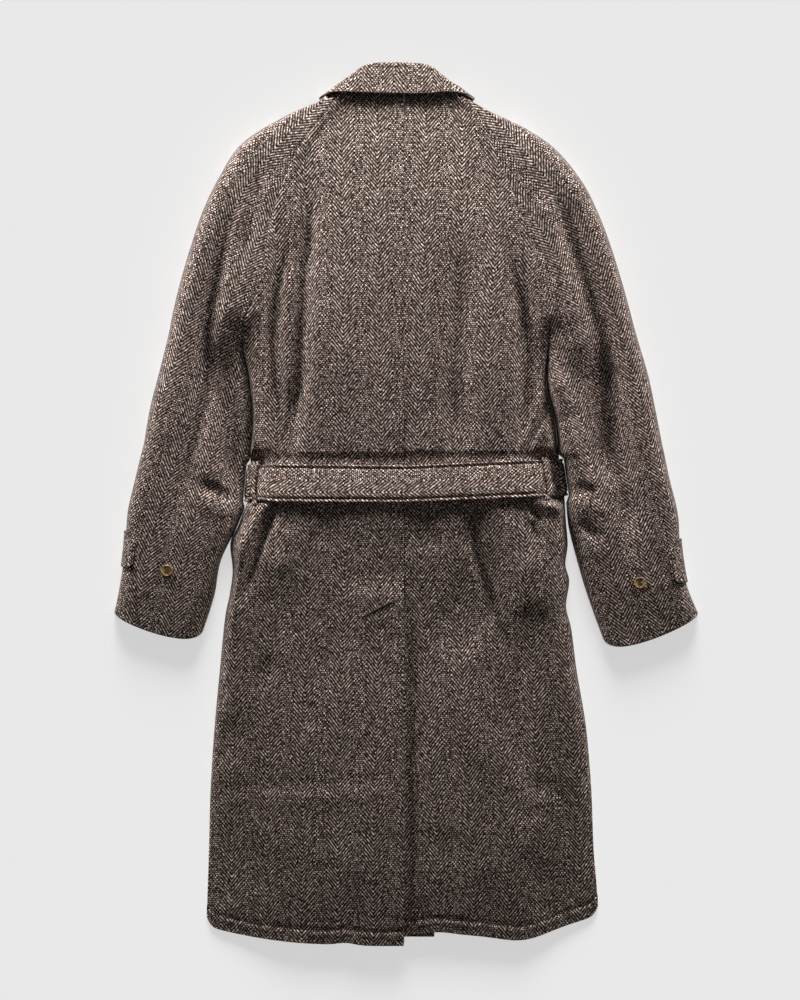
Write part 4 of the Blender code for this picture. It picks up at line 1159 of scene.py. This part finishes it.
def make_belt(left, right, tops, material):
    """Belt: over the back, round both sides and lapped under the fronts."""
    lap_start, lap_end = BELT_LAP
    low_step, high_step = BELT_STEP_UP
    count = len(WAIST_SHARES)
    swell = belt_swell(np.array(WAIST_SHARES))[:, None, None]
    over = []
    for rise in (BELT_CLEAR + 0.0 * swell, BELT_CLEAR + BELT_WALL + swell):
        lines = [panel.bed[top:top + count] + panel.bed_normals[top:top + count] * rise
                 for panel, top in zip((left, right), tops)]
        over.append(np.concatenate((lines[0], lines[1][:, -2::-1]), axis=1))
    ends = (over[0][:, 0], over[0][:, -1])
    left_start, right_start = ends[0][:, 0] + BELT_EDGE, ends[1][:, 0] - BELT_EDGE
    start = [belt_under(ends, x, 0.0) for x in np.linspace(lap_end, left_start, BELT_STEPS)]
    start.append(belt_turn(ends[0], -1.0))
    finish = [belt_turn(ends[1], 1.0)]
    finish += [belt_under(ends, x, 0.0) for x in np.linspace(right_start, lap_end + low_step, LAP_STEPS)]
    finish += [belt_under(ends, x, LAYER) for x in np.linspace(lap_end + high_step, lap_start, LAP_STEPS)]
    inner, outer = (np.concatenate((np.stack([pair[k] for pair in start], axis=1), over[k],
                                    np.stack([pair[k] for pair in finish], axis=1)), axis=1)
                    for k in (0, 1))
    run = running(length(np.diff(inner[count // 2], axis=0)))
    width = length(inner[0] - inner[-1]).mean()
    across = VALLEY + BELT_GRAIN + np.array(WAIST_SHARES) * width
    grain = together(across[:, None] + 0.0 * run, run[None] + 0.0 * across[:, None])
    layers = soft_edges((outer, inner, grain), [(0, True), (0, False)])
    return over[1], cloth_wall("tweed_belt", layers, material)


def between_rows(values, row):
    """Line of a grid at a place between its rows."""
    low = min(int(row), len(values) - 2)
    return mix(values[low], values[low + 1], row - low)


def row_spots(grid, normals, row, distance, places):
    """Points and normals of a panel row at distances from its side edge."""
    gone = between_rows(distance, row)
    line, facing = between_rows(grid, row), between_rows(normals, row)
    return at_places(places, gone, line), unit(at_places(places, gone, facing))


def make_loop(panel, half, material):
    """Belt loop: a narrow strip sewn above and below the belt and over it."""
    top = belt_top_row(half)
    bottom = top + len(WAIST_SHARES) - 1
    over = BELT_CLEAR + BELT_WALL + LOOP_CLEAR
    above = length(panel.grid[top, 0] - panel.grid[top - 1, 0])
    below = length(panel.grid[bottom + 2, 0] - panel.grid[bottom + 1, 0])
    stops = [(top - gap / above, clear, False) for gap, clear in LOOP_TOP]
    stops += [(row, over, True) for row in range(top, bottom + 1)]
    stops += [(bottom + gap / below, clear, False) for gap, clear in LOOP_BOTTOM]
    shares = np.linspace(0.0, 1.0, LOOP_COLUMNS)
    inner = []
    outer = []
    for number, (row, clear, on_belt) in enumerate(stops):
        down = number / (len(stops) - 1)
        edges = mix(np.array(half.loop.top_edges), np.array(half.loop.bottom_edges), down)
        grid, normals = (panel.bed, panel.bed_normals) if on_belt else (panel.grid, panel.normals)
        points, facing = row_spots(grid, normals, row, panel.distance, mix(edges[0], edges[1], shares))
        full = mix(LOOP_ROUND, 1.0, np.sqrt(1.0 - (2.0 * shares - 1.0) ** 2))[:, None]
        inner.append(points + facing * clear)
        outer.append(points + facing * (clear + LOOP_WALL * full))
    inner, outer = np.array(inner), np.array(outer)
    run = running(length(np.diff(outer[:, 0], axis=0)))
    across = length(outer - outer[:, :1])
    grain = together(across + LOOP_GRAIN, -run[:, None] + 0.0 * across)
    edges = [(0, True), (0, False), (1, True), (1, False)]
    layers = soft_edges((outer, inner, grain), edges, STRAP_ROUND)
    return cloth_wall("tweed_belt_loop_" + half.side, layers, material)


def from_outer_edge(panel, row, distances):
    """Points and normals of a sleeve row at distances from its outer edge."""
    line = between_rows(panel.grid, row)[::-1]
    facing = between_rows(panel.normals, row)[::-1]
    gone = length((line - line[0])[:, :2])
    return at_places(distances, gone, line), unit(at_places(distances, gone, facing))


def make_tab(panel, half, material):
    """Cuff tab: from under the sleeve round its outer edge to a cut-off point."""
    tab = half.tab
    outer = []
    inner = []
    for share in np.linspace(0.0, 1.0, TAB_ROWS + 1):
        row = (len(half.arm) - 1 + mix(tab.top, tab.bottom, share)) * ARM_STEPS
        corner = clamp(min(share / TAB_UPPER_CORNER, (1.0 - share) / TAB_LOWER_CORNER))
        tip = tab.reach * mix(TAB_CORNER, 1.0, corner)
        distances = np.concatenate((np.linspace(tip, TAB_RIM, TAB_TIP_STEPS), TAB_RIM_STEPS))
        points, normals = from_outer_edge(panel, row, distances)
        inner_line = points + normals * TAB_CLEAR
        outer_line = points + normals * (TAB_CLEAR + TAB_WALL)
        edge = points[-1]
        outward = unit(normals[-1] * LEVEL)
        turn = (edge + outward * TAB_CLEAR) * LEVEL
        spots = [(edge - outward * distance) * LEVEL
                 for distance in np.linspace(BELT_EDGE, TAB_UNDER, TAB_UNDER_STEPS)]
        under = turn + UP * TURN_DOWN * WALL + outward * TURN_OUT * TAB_WALL
        inner.append(np.vstack((inner_line, turn + UP * WALL, [spot + UP * WALL for spot in spots])))
        outer.append(np.vstack((outer_line, under, spots)))
    outer = np.array(outer)
    inner = np.array(inner)
    run = running(length(np.diff(inner, axis=1)))
    depth = length(outer - outer[:1])
    facing = grid_normals(outer)
    hole = slice(*(int(share * TAB_ROWS) for share in BUTTONHOLE))
    buttonhole = (outer[hole, BUTTONHOLE_COLUMN], facing[hole, BUTTONHOLE_COLUMN])
    round_tip = [(1, column) for column in range(TAB_EDGING, 0, -1)]
    round_tip += [(line, 1) for line in range(2, TAB_ROWS - 1)]
    round_tip += [(TAB_ROWS - 1, column) for column in range(1, TAB_EDGING + 1)]
    edging = tuple(np.array([values[place] for place in round_tip]) for values in (outer, facing))
    edges = [(0, True), (0, False), (1, False)]
    layers = soft_edges((outer, inner, together(depth, run)), edges, STRAP_ROUND)
    return buttonhole, edging, cloth_wall("tweed_cuff_tab_" + half.side, layers, material)


def make_button(panel, half, material):
    """Dished horn button with four holes, flat on the sleeve."""
    name = "horn_button_" + half.side
    shape = bmesh.new()
    angles = [2.0 * math.pi * step / BUTTON_SIDES for step in range(BUTTON_SIDES)]
    rings = [[shape.verts.new((BUTTON_RADIUS * turn.radius * math.cos(angle),
                               BUTTON_RADIUS * turn.radius * math.sin(angle),
                               BUTTON_HEIGHT * turn.height)) for angle in angles] for turn in BUTTON_TURNS]
    for ring, following in zip(rings, rings[1:]):
        for k in range(BUTTON_SIDES):
            ahead = (k + 1) % BUTTON_SIDES
            shape.faces.new((ring[k], ring[ahead], following[ahead], following[k]))
    shape.faces.new(rings[0])
    shape.faces.new(rings[-1])
    holes = bmesh.new()
    for step in range(HOLES):
        angle = 2.0 * math.pi * (step + 0.5) / HOLES
        made = bmesh.ops.create_cone(holes, cap_ends=True, segments=HOLE_SIDES, radius1=HOLE_RADIUS,
                                     radius2=HOLE_RADIUS, depth=4.0 * BUTTON_HEIGHT)
        shift = (HOLE_RING * math.cos(angle), HOLE_RING * math.sin(angle), BUTTON_HEIGHT / 2.0)
        bmesh.ops.translate(holes, vec=shift, verts=made["verts"])
    parts = []
    for label, form in ((name, shape), (name + "_holes", holes)):
        bmesh.ops.recalc_face_normals(form, faces=form.faces)
        mesh = bpy.data.meshes.new(label)
        form.to_mesh(mesh)
        form.free()
        mesh.materials.append(material)
        parts.append(put(label, mesh))
    button, drill = parts
    cut = button.modifiers.new("holes", "BOOLEAN")
    cut.operation = "DIFFERENCE"
    cut.object = drill
    cut.solver = "EXACT"
    drilled = settle(button)
    bpy.data.objects.remove(drill)
    row = (len(half.arm) - 1 + half.tab.button_row) * ARM_STEPS
    points, normals = from_outer_edge(panel, row, np.array((half.tab.button_in,)))
    normal = Vector(normals[0])
    turn = normal.to_track_quat("Z", "Y").to_matrix().to_4x4()
    turn.translation = Vector(points[0]) + normal * SEAM
    drilled.transform(turn)
    drilled.transform(turn.Scale(MM, 4))
    drilled.polygons.foreach_set("use_smooth", [True] * len(drilled.polygons))
    hole = HOLE_RING * math.sqrt(0.5)
    level = BUTTON_HEIGHT * BUTTON_TURNS[-1].height
    ends = np.array([turn @ Vector((0.0, place, level)) for place in (-hole, hole)])
    return (ends, np.array([normal, normal])), button


class Nodes:
    """Nodes of one tree, made and linked in short lines."""

    def __init__(self, tree):
        self.tree = tree

    def add(self, kind, feeds=None, **settings):
        """Node with its settings, and values or links for its inputs."""
        node = self.tree.nodes.new(kind)
        for name, value in settings.items():
            setattr(node, name, value)
        for socket, value in (feeds or {}).items():
            self.feed(node.inputs[socket], value)
        return node

    def feed(self, socket, value):
        """Link an output to a socket, or set the socket's own value."""
        if isinstance(value, bpy.types.NodeSocket):
            self.tree.links.new(value, socket)
        else:
            socket.default_value = value

    def math(self, operation, *values):
        """Result of one math node."""
        return self.add("ShaderNodeMath", dict(enumerate(values)), operation=operation).outputs[0]

    def plus(self, first, second):
        """Sum of two values."""
        return self.math("ADD", first, second)

    def minus(self, first, second):
        """Difference of two values."""
        return self.math("SUBTRACT", first, second)

    def times(self, first, second):
        """Product of two values."""
        return self.math("MULTIPLY", first, second)

    def over(self, first, second):
        """Quotient of two values."""
        return self.math("DIVIDE", first, second)

    def scaled(self, value, by, added):
        """Value scaled, with something added."""
        return self.math("MULTIPLY_ADD", value, by, added)

    def floor(self, value):
        """Whole number at or below a value."""
        return self.math("FLOOR", value)

    def blend(self, share, first, second):
        """Colour part of the way from first to second."""
        node = self.add("ShaderNodeMix", {0: share}, data_type="RGBA")
        colors = [socket for socket in node.inputs if socket.type == "RGBA"]
        self.feed(colors[0], first)
        self.feed(colors[1], second)
        return [socket for socket in node.outputs if socket.type == "RGBA"][0]

    def noise(self, vector, scale, detail=2.0, output="Fac"):
        """Soft noise over a place."""
        feeds = {"Vector": vector, "Scale": scale, "Detail": detail}
        return self.add("ShaderNodeTexNoise", feeds).outputs[output]

    def parts(self, vector):
        """Three parts of a vector or a colour."""
        return self.add("ShaderNodeSeparateXYZ", {0: vector}).outputs

    def chance(self, *numbers):
        """Three random values that belong to the numbers."""
        spot = self.add("ShaderNodeCombineXYZ", dict(enumerate(numbers))).outputs[0]
        drawn = self.add("ShaderNodeTexWhiteNoise", {"Vector": spot}, noise_dimensions="3D")
        return self.parts(drawn.outputs["Color"])

    def sway(self, near, near_size, far, far_size):
        """Shift from two noises, each centred on no shift."""
        first = self.times(self.minus(near, 0.5), near_size)
        return self.scaled(self.minus(far, 0.5), far_size, first)

    def ramp(self, value, low, high):
        """Share of the way from low to high."""
        feeds = {"Value": value, "From Min": low, "From Max": high}
        return self.add("ShaderNodeMapRange", feeds, clamp=True).outputs["Result"]


def new_sockets(tree, inputs, outputs):
    """Named sockets of a node group."""
    for name, kind, value in inputs:
        socket = tree.interface.new_socket(name, in_out="INPUT", socket_type=kind)
        if value is not None:
            socket.default_value = value
    for name, kind in outputs:
        tree.interface.new_socket(name, in_out="OUTPUT", socket_type=kind)


def weave_group():
    """Herringbone with a speckled stripe: woven colour, darkened with painted shade where yarns round down and
    dip under, and height from a place on the cloth.
    """
    tree = bpy.data.node_groups.new("herringbone weave", "ShaderNodeTree")
    new_sockets(tree, [
        ("Grain", "NodeSocketVector", None),
        ("Warp Pitch", "NodeSocketFloat", WARP * MM),
        ("Weft Pitch", "NodeSocketFloat", WEFT * MM),
        ("Light Yarn", "NodeSocketColor", (0.5, 0.4, 0.35, 1.0)),
        ("Tan Yarn", "NodeSocketColor", (0.3, 0.2, 0.14, 1.0)),
        ("Dark Yarn", "NodeSocketColor", (0.03, 0.02, 0.015, 1.0)),
    ], [("Color", "NodeSocketColor"), ("Height", "NodeSocketFloat")])
    n = Nodes(tree)
    given = n.add("NodeGroupInput").outputs
    place = n.parts(given["Grain"])
    stray = n.parts(n.noise(given["Grain"], 260.0, output="Color"))
    wander = n.parts(n.noise(given["Grain"], 28.0, output="Color"))
    end = n.plus(n.over(place[0], given["Warp Pitch"]), n.sway(stray[0], 0.9, wander[0], 2.6))
    pick = n.plus(n.over(place[1], given["Weft Pitch"]), n.sway(stray[1], 1.1, wander[1], 2.6))
    end_number = n.floor(end)
    pick_number = n.floor(pick)
    inside = n.math("FLOORED_MODULO", n.plus(end_number, 0.5), REPEAT)
    falling = n.math("MINIMUM", inside, FALLING)
    rising = n.math("MINIMUM", n.math("MAXIMUM", n.minus(inside, FALLING), 0.0), RISING)
    speckled = n.math("MAXIMUM", n.minus(inside, FALLING + RISING), 0.0)
    basket = n.times(n.math("FLOORED_MODULO", n.floor(n.over(speckled, 2.0)), 2.0), 2.0)
    step = n.plus(n.minus(rising, falling), basket)
    phase = n.over(n.minus(n.plus(pick_number, 0.5), step), 4.0)
    twill_up = n.math("LESS_THAN", n.math("FRACT", phase), 0.5)
    pair = n.chance(n.floor(n.over(end_number, 2.0)), n.floor(n.over(pick_number, 2.0)), 3.0)
    slip = n.times(n.math("GREATER_THAN", speckled, 0.1), n.math("GREATER_THAN", pair[0], 0.8))
    warp_up = n.math("ABSOLUTE", n.minus(twill_up, slip))
    weft_up = n.minus(1.0, warp_up)
    thread = n.plus(n.times(end_number, warp_up), n.times(pick_number, weft_up))
    lot = n.chance(thread, n.floor(phase), warp_up)
    across_end = n.scaled(n.math("FRACT", end), 2.0, -1.0)
    across_pick = n.scaled(n.math("FRACT", pick), 2.0, -1.0)
    warp_round = n.minus(1.0, n.times(across_end, across_end))
    weft_round = n.minus(1.0, n.times(across_pick, across_pick))
    round_yarn = n.plus(n.times(warp_round, warp_up), n.times(weft_round, weft_up))
    # Painted shade at the ends of each light float, where it dips under the dark yarn
    run = n.over(n.minus(pick, step), 2.0)
    along = n.scaled(n.math("FRACT", run), 2.0, -1.0)
    lit = n.ramp(n.minus(1.0, n.times(along, along)), 0.35, 0.75)
    float_shade = n.plus(n.times(warp_up, n.scaled(lit, 1.25, 0.02)), weft_up)
    hair = n.noise(given["Grain"], 1500.0)
    slub = n.ramp(n.noise(given["Grain"], 280.0, 1.0), 0.32, 0.68)
    patch = n.noise(given["Grain"], 45.0, 3.0)
    light = n.blend(n.ramp(lot[0], 0.7, 1.0), given["Light Yarn"], given["Tan Yarn"])
    dark = n.blend(n.ramp(lot[0], 0.82, 1.2), given["Dark Yarn"], given["Tan Yarn"])
    woven = n.blend(warp_up, dark, light)
    fleck = n.add("ShaderNodeTexVoronoi", {"Vector": given["Grain"], "Scale": 210.0}, feature="F1")
    kind = n.parts(fleck.outputs["Color"])
    palette = n.add("ShaderNodeValToRGB", {0: kind[0]})
    palette.color_ramp.interpolation = "CONSTANT"
    stops = palette.color_ramp.elements
    for number, (position, color) in enumerate(FLECKS):
        stop = stops[number] if number < 2 else stops.new(position)
        stop.position = position
        stop.color = (*color, 1.0)
    near_fleck = n.math("LESS_THAN", fleck.outputs["Distance"], 0.3)
    chosen = n.times(near_fleck, n.math("GREATER_THAN", kind[1], 0.7))
    flecked = n.blend(n.times(chosen, 0.5), woven, palette.outputs[0])
    # Painted shade: the colour darkens where each yarn rounds down at its sides; the hair, lot, slub and patch
    # factors are random tone of the yarn
    shade = n.times(n.scaled(round_yarn, 0.55, 0.5), n.scaled(hair, 0.9, 0.55))
    shade = n.times(shade, float_shade)
    for value, by, added in ((lot[1], 1.2, 0.4), (slub, 1.5, 0.25), (patch, 0.5, 0.75)):
        shade = n.times(shade, n.scaled(value, by, added))
    shaded = n.add("ShaderNodeVectorMath", {0: flecked, "Scale": shade}, operation="SCALE")
    height = n.plus(n.times(round_yarn, 0.8), n.times(hair, 0.5))
    n.add("NodeGroupOutput", {"Color": shaded.outputs[0], "Height": height})
    return tree


def new_material(name, **values):
    """Material with uniform values of its shader; returns it, its nodes and its shader."""
    material = bpy.data.materials.new(name)
    material.use_nodes = True
    shader = material.node_tree.nodes["Principled BSDF"]
    for label, value in values.items():
        shader.inputs[SHADER_SOCKETS[label]].default_value = value
    return material, Nodes(material.node_tree), shader


def tweed_material(name, weave, light, tan, dark):
    """Napped wool cloth, woven along the piece's own grain, with the nap's sheen painted into its colour where
    it turns away from view.
    """
    material, n, shader = new_material(name, roughness=0.95, specular=0.15, sheen=0.06, sheen_roughness=0.5,
                                       sheen_tint=(0.85, 0.78, 0.78, 1.0))
    yarns = {"Light Yarn": (*light, 1.0), "Tan Yarn": (*tan, 1.0), "Dark Yarn": (*dark, 1.0)}
    grain = n.add("ShaderNodeUVMap", uv_map="grain").outputs[0]
    cloth = n.add("ShaderNodeGroup", node_tree=weave)
    for label, value in {"Grain": grain, **yarns}.items():
        n.feed(cloth.inputs[label], value)
    relief = n.add("ShaderNodeBump", {"Strength": 0.12, "Distance": 0.0006, "Height": cloth.outputs["Height"]})
    # Painted sheen: the colour turns to a pale nap grey where the surface faces away from the view
    turned = n.ramp(n.add("ShaderNodeLayerWeight").outputs["Facing"], 0.45, 0.95)
    n.feed(shader.inputs["Base Color"], n.blend(turned, cloth.outputs["Color"], NAP_SHEEN_PAINT))
    n.feed(shader.inputs["Normal"], relief.outputs[0])
    return material


def horn_material():
    """Polished horn: amber, with dark clouds and pale streaks."""
    material, n, shader = new_material("polished horn", coat=0.5, coat_roughness=0.12)
    place = n.add("ShaderNodeTexCoord").outputs["Object"]
    cloud = n.noise(place, 130.0, 3.0)
    streak = n.noise(place, 520.0)
    base = n.blend(n.ramp(cloud, 0.38, 0.62), (0.1, 0.045, 0.018, 1.0), (0.8, 0.5, 0.2, 1.0))
    color = n.blend(n.ramp(streak, 0.45, 0.8), base, (0.9, 0.68, 0.38, 1.0))
    n.feed(shader.inputs["Base Color"], color)
    n.feed(shader.inputs["Roughness"], n.scaled(streak, 0.2, 0.16))
    return material


def thread_material(name, color):
    """Waxed sewing thread."""
    return new_material(name, color=(*color, 1.0), roughness=0.6)[0]


def stitch_rows():
    """Rows of stitches along lines on the cloth: small arches of thread at an even pitch."""
    tree = bpy.data.node_groups.new("stitch rows", "GeometryNodeTree")
    new_sockets(tree, [
        ("Line", "NodeSocketGeometry", None),
        ("Pitch", "NodeSocketFloat", 0.004),
        ("Length", "NodeSocketFloat", 0.003),
        ("Thread", "NodeSocketFloat", 0.0004),
        ("Rise", "NodeSocketFloat", 0.0008),
        ("Turn", "NodeSocketFloat", 0.0),
        ("Yarn", "NodeSocketMaterial", None),
    ], [("Stitches", "NodeSocketGeometry")])
    n = Nodes(tree)
    given = n.add("NodeGroupInput").outputs
    row = n.add("GeometryNodeMeshToCurve", {"Mesh": given["Line"]}).outputs[0]
    spaced = n.add("GeometryNodeResampleCurve", {"Curve": row, "Length": given["Pitch"]}, mode="LENGTH")
    arch = n.add("GeometryNodeCurveQuadraticBezier", {"Resolution": 4})
    for name, across, up in (("Start", -0.5, 0.0), ("Middle", 0.0, 1.0), ("End", 0.5, 0.0)):
        place = {"X": n.times(given["Length"], across), "Z": n.times(given["Rise"], up)}
        n.feed(arch.inputs[name], n.add("ShaderNodeCombineXYZ", place).outputs[0])
    section = n.add("GeometryNodeCurvePrimitiveCircle", mode="RADIUS")
    n.feed(section.inputs["Resolution"], 5)
    n.feed(section.inputs["Radius"], given["Thread"])
    stitch = n.add("GeometryNodeCurveToMesh", {
        "Curve": arch.outputs[0], "Profile Curve": section.outputs[0], "Fill Caps": True})
    lay = n.add("GeometryNodeInputNamedAttribute", {"Name": "lay"}, data_type="FLOAT_VECTOR")
    tangent = n.add("GeometryNodeInputTangent").outputs[0]
    facing = n.add("FunctionNodeAxesToRotation", {0: lay.outputs[0], 1: tangent}, primary_axis="Z",
                   secondary_axis="X")
    about = n.add("FunctionNodeAxisAngleToRotation", {"Axis": (0.0, 0.0, 1.0), "Angle": given["Turn"]})
    turned = n.add("FunctionNodeRotateRotation", {0: facing.outputs[0], 1: about.outputs[0]},
                   rotation_space="LOCAL")
    uneven_size = n.add("FunctionNodeRandomValue", {2: 0.85, 3: 1.15, "Seed": 4}, data_type="FLOAT")
    placed = n.add("GeometryNodeInstanceOnPoints", {
        "Points": spaced.outputs[0], "Instance": stitch.outputs[0], "Rotation": turned.outputs[0],
        "Scale": uneven_size.outputs[1]})
    real = n.add("GeometryNodeRealizeInstances", {0: placed.outputs[0]})
    colored = n.add("GeometryNodeSetMaterial", {"Geometry": real.outputs[0], "Material": given["Yarn"]})
    n.add("NodeGroupOutput", {0: colored.outputs[0]})
    return tree


def sew(name, tree, line, **sizes):
    """Stitches along a line of points and normals, in millimetres."""
    points, facing = line
    mesh = bpy.data.meshes.new(name)
    mesh.from_pydata((points * MM).tolist(), [(k, k + 1) for k in range(len(points) - 1)], [])
    lay = mesh.attributes.new("lay", "FLOAT_VECTOR", "POINT")
    lay.data.foreach_set("vector", facing.ravel())
    piece = put(name, mesh)
    rows = piece.modifiers.new("stitches", "NODES")
    rows.node_group = tree
    for socket in tree.interface.items_tree:
        if socket.in_out == "INPUT" and socket.name.lower() in sizes:
            rows[socket.identifier] = sizes[socket.name.lower()]
    settle(piece)
    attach(piece, "root")
    return piece


def hem_stitch_line(outer):
    """Line of the hem's stitches on a back panel, with its normals."""
    facing = grid_normals(outer)
    points = []
    normals = []
    for column in range(HEM_FIRST_COLUMN, outer.shape[1] - 1):
        above = (outer[:, column, 1] - outer[-1, column, 1])[::-1]
        points.append(at_places(HEM_LINE, above, outer[::-1, column]))
        normals.append(at_places(HEM_LINE, above, facing[::-1, column]))
    return np.array(points), unit(np.array(normals))


def tack_line(panel):
    """Line of the slanted tack above the vent, with its normals."""
    spots = panel.grid.reshape(-1, 3)
    facing = panel.normals.reshape(-1, 3)
    points = []
    normals = []
    for share in np.linspace(0.0, 1.0, TACK_SPOTS):
        x, y = (mix(first, second, share) for first, second in zip(TACK_START, TACK_END))
        near = np.argsort(np.hypot(spots[:, 0] - x, spots[:, 1] - y))[:4]
        weight = 1.0 / (np.hypot(spots[near, 0] - x, spots[near, 1] - y) + 0.5)
        points.append((x, y, (spots[near, 2] * weight).sum() / weight.sum()))
        normals.append((facing[near] * weight[:, None]).sum(axis=0))
    return np.array(points), unit(np.array(normals))


def declare(piece, node):
    """Attach a piece to the coat's root, and hide the solid that it stands for."""
    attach(piece, "root")
    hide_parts(node)


def build_coat():
    """Make every piece of the coat; returns all of them."""
    weave = weave_group()
    tweed = tweed_material("herringbone tweed", weave, light=(0.8, 0.64, 0.56), tan=(0.22, 0.123, 0.084),
                           dark=(0.016, 0.007, 0.005))
    # Painted light: the belt and its loops use a lighter copy of the same tweed, so that they look more
    # brightly lit
    belt_tweed_painted_lighter = tweed_material("belt tweed painted lighter", weave, light=(1.0, 0.8, 0.7), tan=(0.36, 0.21, 0.15),
                                dark=(0.03, 0.014, 0.01))
    horn = horn_material()
    halves = (
        Half("left", -1.0, LEFT_ARM, LEFT_CUFF, LEFT_WAIST, LEFT_SKIRT, LEFT_HEM_WAVES, LEFT_TAB, LEFT_GRAIN,
             LEFT_FOLDS, LEFT_LOOP, LEFT_PINCH, LEFT_SLEEVE_GRAIN, LEFT_SLEEVE_VALLEY),
        Half("right", 1.0, RIGHT_ARM, RIGHT_CUFF, RIGHT_WAIST, RIGHT_SKIRT, RIGHT_HEM_WAVES, RIGHT_TAB,
             RIGHT_GRAIN, RIGHT_FOLDS, RIGHT_LOOP, RIGHT_PINCH, RIGHT_SLEEVE_GRAIN, RIGHT_SLEEVE_VALLEY),
    )
    brown = thread_material("brown thread", (0.045, 0.028, 0.02))
    pale = thread_material("pale thread", (0.55, 0.47, 0.42))
    rows = stitch_rows()
    panels = []
    made = []
    for half in halves:
        side = half.side
        panel, hem, back = make_back(half, tweed)
        panels.append(panel)
        front = make_front(half, tweed)
        sleeve_grid, sleeve = make_sleeve_back(half, tweed)
        sleeve_front = make_sleeve_front(half, tweed)
        buttonhole, edging, tab = make_tab(sleeve_grid, half, tweed)
        shank, button = make_button(sleeve_grid, half, horn)
        loop = make_loop(panel, half, belt_tweed_painted_lighter)
        for piece, node in ((back, "back_"), (front, "front_"), (tab, "cuff_tab_"), (loop, "belt_loop_")):
            declare(piece, node + side)
        declare(sleeve, "sleeve_" + side + "_back")
        declare(sleeve_front, "sleeve_" + side + "_front")
        declare(button, "cuff_button_" + side)
        made += [back, front, sleeve, sleeve_front, tab, loop, button]
        for kind, line, yarn in (("hem", hem, brown), ("tab", edging, brown), ("buttonhole", buttonhole, pale),
                                 ("button", shank, brown)):
            made.append(sew("thread_" + kind + "_" + side, rows, line, yarn=yarn, **STITCHES[kind]))
    over, belt = make_belt(*panels, [belt_top_row(half) for half in halves], belt_tweed_painted_lighter)
    collar = make_collar(tweed)
    declare(belt, "belt")
    declare(collar, "collar")
    made += [belt, collar]
    facing = grid_normals(over)
    shown = slice(BELT_STITCH_END, -BELT_STITCH_END)
    for edge, share in (("top", BELT_LINE), ("bottom", 1.0 - BELT_LINE)):
        line = WAIST_SHARES.index(share)
        stitched = (over[line, shown], facing[line, shown])
        made.append(sew("thread_belt_" + edge, rows, stitched, yarn=brown, **STITCHES["belt"]))
    made.append(sew("thread_vent", rows, tack_line(panels[0]), yarn=brown, **STITCHES["vent"]))
    return {piece.name: piece for piece in made}


def add_light(name, kind, energy, place, aim, **settings):
    """Light that looks from a place at a point."""
    data = bpy.data.lights.new(name, kind)
    data.energy = energy
    for label, value in settings.items():
        setattr(data, label, value)
    lamp = put(name, data)
    lamp.location = place
    lamp.rotation_euler = (Vector(aim) - Vector(place)).to_track_quat("-Z", "Y").to_euler()
    return lamp


def set_stage(coat):
    """Floor, soft light from the collar end, and the camera straight above."""
    scene = bpy.context.scene
    scene.view_settings.view_transform = "Standard"
    mesh = bpy.data.meshes.new("pale_floor")
    corners = [(FLOOR_SIZE * x, FLOOR_SIZE * y, FLOOR_LEVEL) for x, y in ((-1, -1), (1, -1), (1, 1), (-1, 1))]
    mesh.from_pydata(corners, [], [(0, 1, 2, 3)])
    pale = new_material("pale floor", color=(0.8, 0.8, 0.8, 1.0), roughness=0.9, specular=0.0)[0]
    mesh.materials.append(pale)
    floor = bpy.data.objects.new("pale_floor", mesh)
    scene.collection.objects.link(floor)
    lit_coat = bpy.data.collections.new("lit_coat")
    for piece in coat.values():
        lit_coat.objects.link(piece)
    lit_floor = bpy.data.collections.new("lit_floor")
    lit_floor.objects.link(floor)
    for name, energy, across in KEY_LIGHTS:
        key = add_light(name, "AREA", energy, (across, 1.5, 0.4), (0.0, 0.1, 0.0), shape="RECTANGLE", size=0.9,
                        size_y=0.4)
        key.light_linking.receiver_collection = lit_coat
    for name, energy, place, angle in FLOOR_LIGHTS:
        lamp = add_light(name, "SUN", energy, place, (0.0, 0.0, 0.0), angle=math.radians(angle))
        lamp.light_linking.receiver_collection = lit_floor
    world = bpy.data.worlds.new("studio")
    world.use_nodes = True
    world.node_tree.nodes["Background"].inputs["Color"].default_value = (1.0, 1.0, 1.0, 1.0)
    world.node_tree.nodes["Background"].inputs["Strength"].default_value = WORLD_LIGHT
    scene.world = world
    lens = bpy.data.cameras.new("overhead")
    lens.lens = LENS
    lens.sensor_width = SENSOR
    camera = bpy.data.objects.new("overhead", lens)
    camera.location = CAMERA
    scene.collection.objects.link(camera)
    scene.camera = camera


coat = build_coat()
set_stage(coat)
